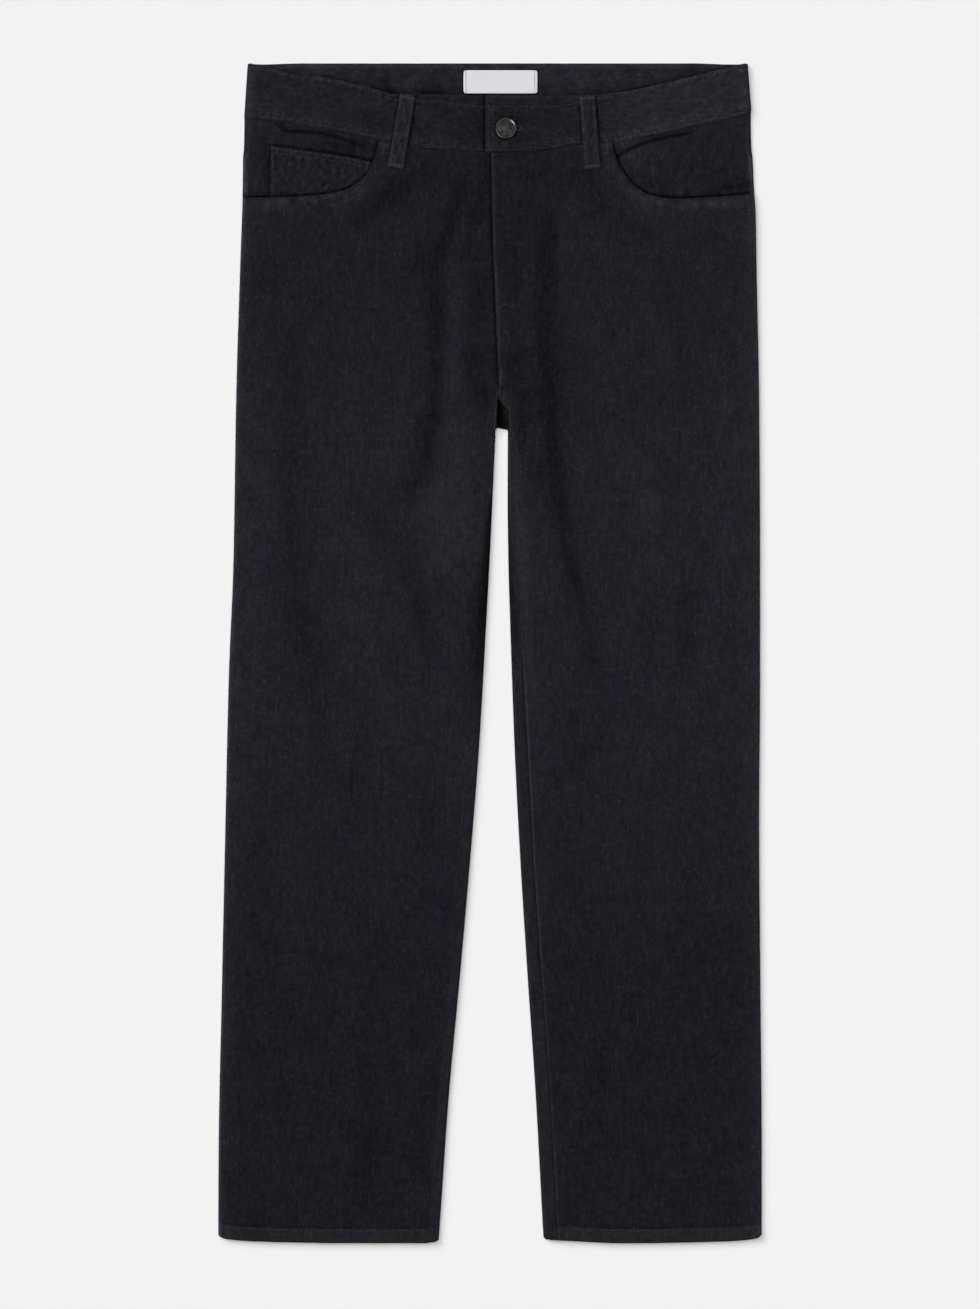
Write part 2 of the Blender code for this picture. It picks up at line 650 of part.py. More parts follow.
def make_panels(collection, cutters, denim):
    for side in WEARER_SIDES:
        left = side == "left"
        front = grid_object("front_" + side, front_points(side), denim, collection, DENIM,
                            flipped=not left, thick_rows=HEM_ROWS)
        cut_scoop(front, side, cutters)
        grid_object("back_" + side, back_points(side), denim, collection, DENIM,
                    flipped=left, thick_rows=HEM_ROWS)
        grid_object("back_yoke_" + side, yoke_points(side), denim, collection, DENIM, flipped=left)
        outline_plate("back_pocket_" + side, patch_outline(side), PATCH_WALL, 0.0, denim, collection)


def make_front_pockets(collection, facing_cloth):
    for side in WEARER_SIDES:
        grid_object("pocket_facing_" + side, facing_points(side), facing_cloth, collection,
                    FACING_WALL, flipped=side == "right")
    grid_object("coin_pocket", coin_points(), facing_cloth, collection, COIN_WALL, flipped=True)


def make_waist(collection, denim, label_cloth, metal, zip_cloth):
    grid_object("waistband", band_points(), denim, collection, BAND_WALL, flipped=True)
    for name, place in FRONT_LOOPS.items():
        grid_object(name, loop_points(place, SEAM_GAP, False), denim, collection, LOOP_WALL,
                    flipped=True)
    for name, place in BACK_LOOPS.items():
        grid_object(name, loop_points(place, 0.0, True), denim, collection, BACK_LOOP_WALL)
    half_x, half_y = LABEL_SIZE[0] / 2, LABEL_SIZE[1] / 2
    x, y = LABEL_PLACE
    corners = [(x - half_x, y - half_y), (x + half_x, y - half_y), (x + half_x, y + half_y),
               (x - half_x, y + half_y)]
    outline_plate("label", corners, LABEL_WALL, BACK_LIFT + BAND_WALL + SEAM_GAP, label_cloth,
                  collection)
    outline_plate("zip", zip_outline(), ZIP_WALL, ZIP_BOTTOM, zip_cloth, collection)
    make_button(metal, collection)


def main():
    clear_scene()
    jeans = new_collection("straight_leg_jeans")
    cutters = new_collection("cutters")
    denim = material_of("ink_denim", DENIM_INK, 0.92)
    facing_cloth = material_of("facing_denim", DENIM_FACING, 0.94)
    label_cloth = material_of("label_satin", LABEL_WHITE, 0.6)
    metal = material_of("antique_gunmetal", METAL, 0.38, 0.9)
    zip_cloth = material_of("zip_tape", ZIP_BLACK, 0.8)
    make_panels(jeans, cutters, denim)
    make_front_pockets(jeans, facing_cloth)
    make_waist(jeans, denim, label_cloth, metal, zip_cloth)


main()
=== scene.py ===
import math
from collections import namedtuple

import bpy
import numpy as np
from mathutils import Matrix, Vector
from mathutils.bvhtree import BVHTree


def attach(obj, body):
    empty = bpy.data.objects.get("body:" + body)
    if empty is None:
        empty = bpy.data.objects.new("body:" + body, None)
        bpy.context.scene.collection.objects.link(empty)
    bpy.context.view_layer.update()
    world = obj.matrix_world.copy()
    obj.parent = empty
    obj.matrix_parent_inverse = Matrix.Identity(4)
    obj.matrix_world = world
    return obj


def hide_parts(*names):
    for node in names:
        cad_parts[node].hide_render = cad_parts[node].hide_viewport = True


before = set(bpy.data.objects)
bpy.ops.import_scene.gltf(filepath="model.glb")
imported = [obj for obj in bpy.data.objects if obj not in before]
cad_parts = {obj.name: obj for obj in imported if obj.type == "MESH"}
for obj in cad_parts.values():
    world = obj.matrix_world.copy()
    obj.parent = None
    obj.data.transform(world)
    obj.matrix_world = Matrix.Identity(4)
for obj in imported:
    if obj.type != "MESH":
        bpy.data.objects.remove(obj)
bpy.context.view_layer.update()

# Lengths are in millimetres unless a comment says otherwise, and MM turns them into metres.
# +X is the wearer's left, +Y runs from the hems to the waist and +Z is up off the surface.
MM = 0.001

# ---------------------------------------------------------------- Surface, lamps and camera
# The garment lies on a pale matt surface. A broad lamp straight above and a lower one from the upper
# left light it, a faint low one glints in the metal, and a long lens looks straight down on it.
PALE = 0.888               # how much light the surface gives back
SURFACE_WIDTH = 14000.0
SURFACE_DROP = 0.1         # keeps the surface just clear of the cloth
VIEW_LENGTH = 1.12574      # metres of surface in view from top to bottom
VIEW_CENTRE = (0.0, -0.00086)
VIEW_PLANE = 3.0 * MM      # height of the garment's outline, where that length is measured
LENS_AWAY = 9.0            # metres
SENSOR = 36.0
OVERHEAD_SHARE = 0.67      # of the light on the surface; the upper left lamp gives the rest

scene = bpy.context.scene
scene.view_settings.view_transform = "Standard"


def add_node(tree, kind, inputs=None, **settings):
    """A node of that kind. An input given as another node's output is linked, and any other is set."""
    node = tree.nodes.new(kind)
    for key, value in settings.items():
        setattr(node, key, value)
    for key, value in (inputs or {}).items():
        if isinstance(value, bpy.types.NodeSocket):
            tree.links.new(value, node.inputs[key])
        else:
            node.inputs[key].default_value = value
    return node


def new_material(name, inputs):
    """A material, its node tree and its shader, whose inputs are set to these values."""
    material = bpy.data.materials.new(name)
    material.use_nodes = True
    shader = material.node_tree.nodes["Principled BSDF"]
    for key, value in inputs.items():
        shader.inputs[key].default_value = value
    return material, material.node_tree, shader


def mesh_object(name, points, faces, material, smooth=True):
    """An object in the scene from points and a list of faces, all of one material."""
    mesh = bpy.data.meshes.new(name)
    mesh.from_pydata((np.asarray(points) * MM).tolist(), [], faces)
    if smooth:
        mesh.shade_smooth()
    mesh.materials.append(material)
    obj = bpy.data.objects.new(name, mesh)
    scene.collection.objects.link(obj)
    return obj


def lamp(name, share, width, lean, bearing, glints=False):
    """A distant lamp that gives this share of the light on the surface.

    It is width degrees across, leans by lean degrees from straight above, towards bearing degrees
    from +X to +Y. It lights matt surfaces alone, or with glints shows in the glossy ones alone.
    """
    data = bpy.data.lights.new(name, "SUN")
    data.energy = math.pi * share / math.cos(math.radians(lean))
    data.angle = math.radians(width)
    obj = bpy.data.objects.new(name, data)
    scene.collection.objects.link(obj)
    slant, turn = math.radians(lean), math.radians(bearing)
    towards = Vector((math.sin(slant) * math.cos(turn), math.sin(slant) * math.sin(turn), math.cos(slant)))
    obj.rotation_euler = towards.to_track_quat("Z", "Y").to_euler()
    obj.location = towards * 3.0
    obj.visible_glossy = glints
    obj.visible_diffuse = not glints


lamp("overhead_lamp", OVERHEAD_SHARE, width=40.0, lean=4.0, bearing=135.0)
lamp("upper_left_lamp", 1.0 - OVERHEAD_SHARE, width=34.0, lean=48.0, bearing=138.0)
lamp("glint_lamp", 0.8, width=24.0, lean=66.0, bearing=218.0, glints=True)

world = bpy.data.worlds.new("pale_studio")
scene.world = world
world.use_nodes = True
background = world.node_tree.nodes["Background"]
background.inputs["Color"].default_value = (PALE, PALE, PALE, 1.0)
world.cycles_visibility.diffuse = False

pale_matt = new_material("pale_matt", {
    "Base Color": (PALE, PALE, PALE, 1.0), "Roughness": 1.0, "Specular IOR Level": 0.0})[0]
half = SURFACE_WIDTH / 2
corners = [(-half, -half, -SURFACE_DROP), (half, -half, -SURFACE_DROP), (half, half, -SURFACE_DROP),
           (-half, half, -SURFACE_DROP)]
surface = mesh_object("surface", corners, [(0, 1, 2, 3)], pale_matt, smooth=False)

lens = bpy.data.cameras.new("camera")
lens.sensor_width = SENSOR
lens.lens = SENSOR * LENS_AWAY / VIEW_LENGTH
lens.clip_end = 100.0
camera = bpy.data.objects.new("camera", lens)
camera.location = (*VIEW_CENTRE, VIEW_PLANE + LENS_AWAY)
scene.collection.objects.link(camera)
scene.camera = camera

# ---------------------------------------------------------------- Back leg panels
# Two panels of ink-black stretch denim with a high seat. Each is sewn to its front along the side seam
# and the inseam and to the other along the centre back seam, and it wraps round the leg's inner fold.
SIDES = {"right": -1.0, "left": 1.0}
DENIM = 1.2                # wall of one layer
SEAM_GAP = 0.1             # between panels that a seam joins
BACK_LIFT = 1.4            # of the seat, which lies on its patch pockets
LEG_TOP = 6.0              # heights of the upper side: on the legs, at the hip, of a pocket facing
HIP_TOP = 6.8
FACING_TOP = 3.9
HEM_Y = -507.0
HEM_DEPTH = 12.5
HEM_ROW = 1.6              # how far its stitches lie below its upper edge
HEM_BEND_Y = -440.0
CROTCH_Y = 230.0           # front crotch, where the four seams meet
WEB_Y = 194.0              # foot of the web between the legs
# Where the lift, the hip's height and the lower side fold come in: from, to
SEAT_SIDE_REACH = (9.0, 30.0)
SEAT_CROTCH_REACH = (168.0, 206.0)
HIP_REACH = (300.0, 350.0)
SCOOP_FOLD_REACH = (378.0, 385.0)

# Side seam: height, right, left
SIDE_SEAM = (
    (507.0, -208.4, 222.4), (468.0, -211.3, 224.4), (455.0, -211.2, 224.2), (434.0, -211.6, 224.8),
    (427.0, -212.4, 225.7), (400.0, -212.7, 227.0), (380.0, -213.3, 228.5), (330.0, -215.1, 229.4),
    (218.0, -218.5, 231.6), (80.0, -220.8, 232.4), (-20.0, -224.8, 232.4), (-150.0, -227.8, 231.6),
    (-290.0, -230.8, 232.7), (-430.0, -233.6, 233.8), (-507.0, -233.9, 233.8),
)

# Inner fold of each leg: height, right leg, left leg
INNER_FOLD = (
    (194.0, 4.8, 15.4), (131.6, 2.0, 15.2), (80.0, -0.4, 15.8), (28.4, -3.2, 17.3),
    (-74.8, -9.1, 20.9), (-178.0, -17.2, 26.1), (-281.2, -26.3, 32.6), (-384.4, -35.8, 39.6),
    (-507.0, -44.2, 46.0),
)

# Inseam, on the front of each leg, from the front crotch down: height, right leg, left leg
INSEAM = (
    (CROTCH_Y, 7.3, 7.3), (224.0, 5.0, 14.0), (216.0, 4.4, 17.2), (203.0, 2.0, 19.7),
    (190.0, -1.3, 21.4), (131.6, -3.4, 21.0), (28.4, -10.4, 25.8), (-74.8, -17.4, 32.0),
    (-178.0, -26.0, 37.4), (-281.2, -35.3, 44.6), (-384.4, -44.8, 51.8), (-506.5, -53.6, 58.4),
)
# Shade along the inner edge, where the thigh turns down to it: height, width, how dark it is, and how
# much darker at the brink
INNER_SHADE = {
    "right": ((142.0, 3.0, 0.0, 0.0), (124.0, 5.0, 0.42, 0.2), (97.0, 8.0, 0.42, 0.2),
              (76.0, 11.0, 0.40, 0.2), (41.0, 17.0, 0.42, 0.1), (7.0, 19.0, 0.30, 0.0),
              (-28.0, 24.0, 0.16, -0.1), (-62.0, 26.0, 0.03, -0.1), (-90.0, 26.0, 0.0, -0.16)),
    "left": ((160.0, 1.0, 0.0, 0.0), (123.0, 1.6, 0.20, 0.25), (97.0, 3.0, 0.22, 0.2),
             (80.0, 4.0, 0.26, 0.15), (54.0, 4.8, 0.28, 0.1), (20.0, 8.2, 0.18, 0.1),
             (-15.0, 10.3, 0.02, 0.05), (-50.0, 11.0, 0.0, -0.05)),
}
CENTRE_FRONT = ((450.0, 0.3), (350.0, 2.4), (290.0, 5.0), (CROTCH_Y, 7.3))
CENTRE_BACK = ((463.0, 7.5), (300.0, 8.5), (WEB_Y, 10.6))
YOKE_SEAM = ((0.0, 393.0), (110.0, 409.0), (222.0, 428.0))    # distance from centre back, height

# How far the hem rises towards a leg's corners: distance from the side seam or inner fold, rise
OUTER_HEM_RISE = ((0.0, 7.4), (3.0, 4.8), (9.0, 3.2), (32.0, 1.5), (95.0, 0.0))
INNER_HEM_RISE = {
    "right": ((0.0, 2.8), (3.0, 1.2), (11.0, 0.0)),
    "left": ((0.0, 5.0), (2.5, 3.2), (30.0, 1.5), (58.0, 0.0)),
}

# Creases: depth (down is negative on the front, up into the leg on the back), half width, path
INNER_RIDGES = (
    (0.9, 5.0, ((21, 196), (23, 130), (29, 60), (35, -10), (38, -90))),
    (0.9, 8.0, ((27, 132), (30, 88), (32, 44))),
)
BACK_CREASES = (
    (0.9, 11.0, ((60, 180), (74, 96), (92, 10), (101, -60))),
    (0.8, 9.0, ((-46, 176), (-58, 110), (-62, 34))),
    (0.6, 12.0, ((-150, 250), (-161, 120), (-158, -40))),
    (0.5, 10.0, ((168, 210), (176, 90), (169, -30))),
    (0.5, 8.0, ((-96, -60), (-120, -150), (-128, -240))),
    (0.6, 9.0, ((128, -90), (142, -190), (139, -300))),
    (0.4, 7.0, ((-70, -250), (-86, -330), (-84, -410))),
    (0.4, 8.0, ((92, -270), (88, -360), (96, -440))),
    (0.7, 9.0, ((24, 200), (58, 214), (104, 236))),
    (0.6, 8.0, ((-2, 204), (-38, 216), (-90, 246))),
)


def smooth_curve(points):
    """Monotone cubic through (position, value) points, held level past both ends."""
    xs, ys = np.array(sorted(points), dtype=float).T
    slopes = np.diff(ys) / np.diff(xs)
    tangents = np.empty_like(ys)
    tangents[0], tangents[-1] = slopes[0], slopes[-1]
    before, after = slopes[:-1], slopes[1:]
    steady = before * after > 0
    total = np.where(steady, before + after, 1.0)
    tangents[1:-1] = np.where(steady, 2.0 * before * after / total, 0.0)

    def value(position):
        x = np.clip(position, xs[0], xs[-1])
        i = np.clip(np.searchsorted(xs, x) - 1, 0, len(xs) - 2)
        width = xs[i + 1] - xs[i]
        t = (x - xs[i]) / width
        start = ys[i] * (1 + 2 * t) * (1 - t) ** 2 + tangents[i] * width * t * (1 - t) ** 2
        return start + ys[i + 1] * t * t * (3 - 2 * t) + tangents[i + 1] * width * t * t * (t - 1)

    return value


def column(table, place):
    """Smooth curve of one column of a table against its first column."""
    return smooth_curve([(row[0], row[place]) for row in table])


def both_sides(table):
    """Curves of a table whose rows are height, right, left."""
    return {side: column(table, place) for place, side in enumerate(SIDES, 1)}


def ramp(value, start, end):
    """0 at start, 1 at end, soft at both."""
    t = np.clip((value - start) / (end - start), 0.0, 1.0)
    return t * t * (3 - 2 * t)


def bell(value, middle, width):
    """1 at the middle, soft on both sides: e to the minus square of the distance over the width."""
    return np.exp(-((value - middle) / width) ** 2)


def fade(value, width):
    """1 at 0, then less and less: e to the minus value over width."""
    return np.exp(-value / width)


def stepped(*stops):
    """Positions from the first stop to the last. A stop is (position, step), and the steps between two
    stops grow evenly from the one's to the other's."""
    places = [np.array([stops[0][0]], dtype=float)]
    for (start, step), (end, next_step) in zip(stops[:-1], stops[1:]):
        count = max(1, round(2 * abs(end - start) / (step + next_step)))
        share = np.arange(1, count + 1) / count
        bend = (next_step - step) / (next_step + step)
        places.append(start + (end - start) * (share - bend * share * (1 - share)))
    return np.concatenate(places)


def run_along(path):
    """Length of a path up to each of its points."""
    return np.concatenate(([0.0], np.cumsum(np.hypot(*np.diff(path, axis=0).T))))


def from_path(x, y, path):
    """Distance of (x, y) from a path of points, and how far along the path, 0 to 1, the nearest is."""
    path = np.array(path, dtype=float)
    lengths = np.hypot(*np.diff(path, axis=0).T)
    reach = run_along(path)
    nearest = np.full(np.broadcast(x, y).shape, 1e9)
    along = np.zeros_like(nearest)
    for start, end, length, done in zip(path[:-1], path[1:], lengths, reach):
        way = (end - start) / length
        step = np.clip((x - start[0]) * way[0] + (y - start[1]) * way[1], 0.0, length)
        distance = np.hypot(x - start[0] - step * way[0], y - start[1] - step * way[1])
        closer = distance < nearest
        nearest = np.where(closer, distance, nearest)
        along = np.where(closer, (done + step) / reach[-1], along)
    return nearest, along


def rounded(path, rounds=2):
    """The path with its corners cut off twice over, so that a crease bends softly."""
    path = np.array(path, dtype=float)
    for _ in range(rounds):
        near = 0.75 * path[:-1] + 0.25 * path[1:]
        far = 0.25 * path[:-1] + 0.75 * path[1:]
        middle = np.stack((near, far), axis=1).reshape(-1, 2)
        path = np.vstack((path[:1], middle, path[-1:]))
    return path


def crease_height(x, y, creases):
    """Sum of soft troughs and ridges: a bell across each path, fading out towards both its ends."""
    total = np.zeros(np.broadcast(x, y).shape)
    for depth, half_width, path in creases:
        distance, along = from_path(x, y, rounded(path))
        total += depth * ramp(along, 0.0, 0.15) * ramp(along, 1.0, 0.7) * bell(distance, 0, half_width)
    return total


def ripple(x, y, size, seed, stretch=2.0):
    """Loose waviness about 0, rms 1: sine waves of random direction and of length near size, drawn out
    along the leg by stretch."""
    rng = np.random.default_rng(seed)
    total = np.zeros(np.broadcast(x, y).shape)
    waves = 16
    for angle, length, phase in rng.uniform((0.0, 0.65, 0.0), (math.pi, 1.6, 2 * math.pi), (waves, 3)):
        way = (x * math.cos(angle) + y / stretch * math.sin(angle)) / (size * length)
        total += np.sin(2 * math.pi * way + phase)
    return total / math.sqrt(waves / 2)


def set_tone(mesh, tone):
    """Gives each point of a mesh its tone, which the materials read."""
    mesh.attributes.new("tone", "FLOAT", "POINT").data.foreach_set("value", tone.astype(np.float32))


def shell(name, outside, wall, grain, tone, material, flip=False, bulge=0.15, lining=None):
    """Closed cloth wall from a grid of outside points.

    The inside is the same grid moved back along its normals by the wall. Round the rim, rows a third
    and two thirds of the way through the wall stand out by bulge, so that the cloth's edge is round.
    grain is each point's place (across, along) the warp, in the part of the cloth that the piece is
    cut from, and tone how much lighter or darker its colour is, painted light and shade included, with
    lining for the inside where that differs. The faces point to the side that rows times columns turn
    to, or to the other with flip.
    """
    rows, columns, _ = outside.shape
    wall = np.broadcast_to(wall, (rows, columns))
    tones = [np.broadcast_to(values, (rows, columns)).ravel()
             for values in (tone, tone if lining is None else lining)]
    normal = np.cross(np.gradient(outside, axis=1), np.gradient(outside, axis=0))
    normal /= np.linalg.norm(normal, axis=2, keepdims=True) * (-1.0 if flip else 1.0)
    inside = outside - normal * wall[..., None]
    r = np.concatenate((np.zeros(columns, int), np.arange(1, rows), np.full(columns - 1, rows - 1),
                        np.arange(rows - 2, 0, -1)))
    c = np.concatenate((np.arange(columns), np.full(rows - 1, columns - 1),
                        np.arange(columns - 2, -1, -1), np.zeros(rows - 2, int)))
    outward = outside[r, c] - outside[np.clip(r, 1, rows - 2), np.clip(c, 1, columns - 2)]
    outward -= normal[r, c] * np.sum(outward * normal[r, c], axis=1, keepdims=True)
    outward /= np.linalg.norm(outward, axis=1, keepdims=True)
    rims = [outside[r, c] * (1 - share) + inside[r, c] * share + outward * bulge
            for share in (1 / 3, 2 / 3)]
    count, rim_count = rows * columns, len(r)
    grid = np.arange(count).reshape(rows, columns)
    quads = np.stack((grid[:-1, :-1], grid[:-1, 1:], grid[1:, 1:], grid[1:, :-1]), -1).reshape(-1, 4)
    first, second = 2 * count + np.arange(rim_count), 2 * count + rim_count + np.arange(rim_count)
    rings = (grid[r, c], first, second, grid[r, c] + count)
    faces = [quads, quads[:, ::-1] + count]
    for near, far in zip(rings[:-1], rings[1:]):
        faces.append(np.stack((np.roll(near, -1), near, far, np.roll(far, -1)), -1))
    faces = np.concatenate(faces)
    if flip:
        faces = faces[:, ::-1]
    points = np.concatenate((outside.reshape(-1, 3), inside.reshape(-1, 3), *rims))
    rim_place = grid[r, c]
    source = np.concatenate((np.arange(count), np.arange(count), rim_place, rim_place))
    obj = mesh_object(name, points, faces.tolist(), material)
    mesh = obj.data
    corner = np.empty(len(mesh.loops), dtype=np.int32)
    mesh.loops.foreach_get("vertex_index", corner)
    across_along = grain.reshape(-1, 2)[source][corner] * MM
    mesh.uv_layers.new(name="grain").data.foreach_set("uv", across_along.ravel())
    set_tone(mesh, np.concatenate((*tones, tones[0][rim_place], tones[1][rim_place])))
    return obj


def stands_for(piece, node):
    """A piece of the garment's one body, seen in place of a node."""
    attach(piece, "root")
    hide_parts(node)


def join(name, *parts):
    """One object from several that share a material."""
    context = {"active_object": parts[0], "selected_editable_objects": list(parts)}
    with bpy.context.temp_override(**context):
        bpy.ops.object.join()
    parts[0].name = name
    parts[0].data.name = name
    return parts[0]


def beside(path, distance):
    """The path moved sideways by distance, to its left as it runs."""
    way = np.gradient(path, axis=0)
    way /= np.hypot(way[:, 0], way[:, 1])[:, None]
    return path + distance * np.stack((-way[:, 1], way[:, 0]), axis=1)


def along_y(curve, start, end, beyond=0.0):
    """Path from height start to height end whose x is curve at each height, moved by beyond in x."""
    y = np.linspace(start, end, max(2, int(abs(end - start) / 4)))
    return np.stack((curve(y) + beyond, y), axis=1)


def bar_tack(x, y, length, lean, width=1.9, spacing=0.6):
    """Close threads side by side in a bar that runs lean degrees from +X, each thread across the bar."""
    way = np.array((math.cos(math.radians(lean)), math.sin(math.radians(lean))))
    over = np.array((-way[1], way[0])) * width / 2
    middles = np.array((x, y)) + way * np.arange(-length / 2, length / 2 + 0.01, spacing)[:, None]
    return [np.array((middle - over, middle + over)) for middle in middles]


def stitches(name, rows, cloth, material, up=1.0, pitch=3.0, share=0.8, thick=0.5, seed=1):
    """Threads along each path of rows, laid on the cloth's upper side, or its lower side with up=-1.

    A path holds a thread every pitch, share of the pitch long. A thread is three rings of four points,
    whose ends are half as thick and sink into the cloth. Each is moved a little at random.
    """
    rng = np.random.default_rng(seed)
    mesh = cloth.data
    tree = BVHTree.FromPolygons([v.co for v in mesh.vertices], [f.vertices for f in mesh.polygons])
    spots = []
    for path in rows:
        run = run_along(path)
        count = max(1, round(run[-1] / pitch))
        step = run[-1] / count
        start = (np.arange(count) + (1 - share) / 2) * step + rng.uniform(-0.05, 0.05, count) * step
        length = share * step * rng.uniform(0.92, 1.08, count)
        place = start[:, None] + length[:, None] * np.array((0.0, 0.5, 1.0))
        spots.append(np.dstack((np.interp(place, run, path[:, 0]), np.interp(place, run, path[:, 1]))))
    spots = np.concatenate(spots)
    way = spots[:, 2] - spots[:, 0]
    across = np.stack((-way[:, 1], way[:, 0]), axis=1) / np.hypot(way[:, 0], way[:, 1])[:, None]
    spots += across[:, None] * rng.normal(0.0, 0.07, (len(spots), 1, 1))
    heights = np.full(spots.shape[:2], np.nan)
    for i, ring in np.ndindex(*heights.shape):
        x, y = spots[i, ring] * MM
        hit = tree.ray_cast(Vector((x, y, up * 0.05)), Vector((0.0, 0.0, -up)))[0]
        if hit:
            heights[i, ring] = hit.z / MM
    kept = ~np.isnan(heights).any(axis=1)
    spots, across, heights = spots[kept], across[kept], heights[kept]
    radius = thick / 2 * np.array((0.55, 1.0, 0.55))
    middle = np.dstack((spots, heights + up * np.array((-0.25, 0.35, -0.25)) * thick))
    middle[..., 2] = np.maximum(middle[..., 2], radius)
    wide = np.zeros((len(spots), 3))
    wide[:, :2] = across
    high = np.array((0.0, 0.0, 1.0))
    points = np.stack([middle + radius[:, None] * (math.cos(angle) * wide[:, None] + math.sin(angle) * high)
                       for angle in np.radians((0, 90, 180, 270))], axis=2)
    ring = np.arange(4)
    sides = [np.stack((k * 4 + ring, k * 4 + np.roll(ring, -1), k * 4 + 4 + np.roll(ring, -1),
                       k * 4 + 4 + ring), axis=1) for k in (0, 1)]
    one = np.concatenate((*sides, [ring[::-1]], [ring + 8]))
    faces = (np.arange(len(spots)) * 12)[:, None, None] + one
    obj = mesh_object(name, points.reshape(-1, 3), faces.reshape(-1, 4).tolist(), material)
    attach(obj, "root")
    return obj


def linear(*levels):
    """A colour from display levels of 0 to 255, as the shader wants it."""
    share = [level / 255 for level in levels]
    return tuple(s / 12.92 if s <= 0.04045 else ((s + 0.055) / 1.055) ** 2.4 for s in share) + (1.0,)


def calculate(tree, operation, *values):
    """Result of a calculation on values, or on outputs of other nodes."""
    return add_node(tree, "ShaderNodeMath", dict(enumerate(values)), operation=operation).outputs[0]


def place_on_cloth(tree):
    """The place (across, along) the warp that shell gave each point."""
    return add_node(tree, "ShaderNodeUVMap", uv_map="grain").outputs["UV"]


def given_tone(tree):
    """The tone that each point was given."""
    return add_node(tree, "ShaderNodeAttribute", attribute_name="tone").outputs["Fac"]


def colour_ramp(tree, factor, stops, read=linear):
    """Colours over a factor. A stop is its position and its colour, which read turns into light."""
    ramp_node = add_node(tree, "ShaderNodeValToRGB", {"Fac": factor})
    elements = ramp_node.color_ramp.elements
    while len(elements) < len(stops):
        elements.new(0.5)
    for element, (position, colour) in zip(elements, stops):
        element.position = position
        element.color = read(*colour)
    return ramp_node.outputs["Color"]


def add_bump(tree, shader, height, distance, strength=1.0):
    """Fine relief on a shader's surface: height, 0 to 1, over distance."""
    bump = add_node(tree, "ShaderNodeBump", {"Height": height, "Strength": strength,
                                             "Distance": distance * MM})
    tree.links.new(bump.outputs["Normal"], shader.inputs["Normal"])


# Unevenness of the yarns: width across the warp, length along it, and how far it moves the tone
Yarn = namedtuple("Yarn", "across along weight")
YARNS = (
    Yarn(1.3, 30.0, 0.23),      # slubs of the warp
    Yarn(1.1, 5.0, 0.20),       # its short streaks
    Yarn(9.0, 1.0, 0.19),       # slubs of the weft
    Yarn(18.0, 26.0, 0.17),     # clouds in the dye
    Yarn(4.4, 6.4, 0.34),
    Yarn(3.2, 15.0, 0.15),
)
FLECK = Yarn(1.7, 3.8, 0.28)    # ends of undyed fibre
TWILL_BREAKS = Yarn(2.5, 4.0, 0.0)
HUE_PATCH = Yarn(40.0, 60.0, 0.0)
MIDDLE_TONE = 0.485
TWILL_PITCH = 0.85
TWILL_LEAN = math.radians(27.0)  # of the twill lines from the warp
TWILL_TONE = 0.03
# Dye colours along the tone. The near-black first stop is reached mostly where deep shade is painted, as in
# the web between the legs
INK_TONES = (
    (0.0, (3, 3, 4)), (0.25, (16, 15.3, 19.6)), (0.5, (28, 27.1, 32.4)), (0.75, (39.7, 38.7, 43.8)),
    (1.0, (53.4, 52.3, 58.0)),
)
# Where the dye turned faintly olive or violet: share of the hue noise, colour it is multiplied by
CASTS = ((0.36, (1.0, 1.003, 0.98)), (0.52, (1.0, 1.0, 1.0)), (0.72, (1.0, 0.985, 1.10)))


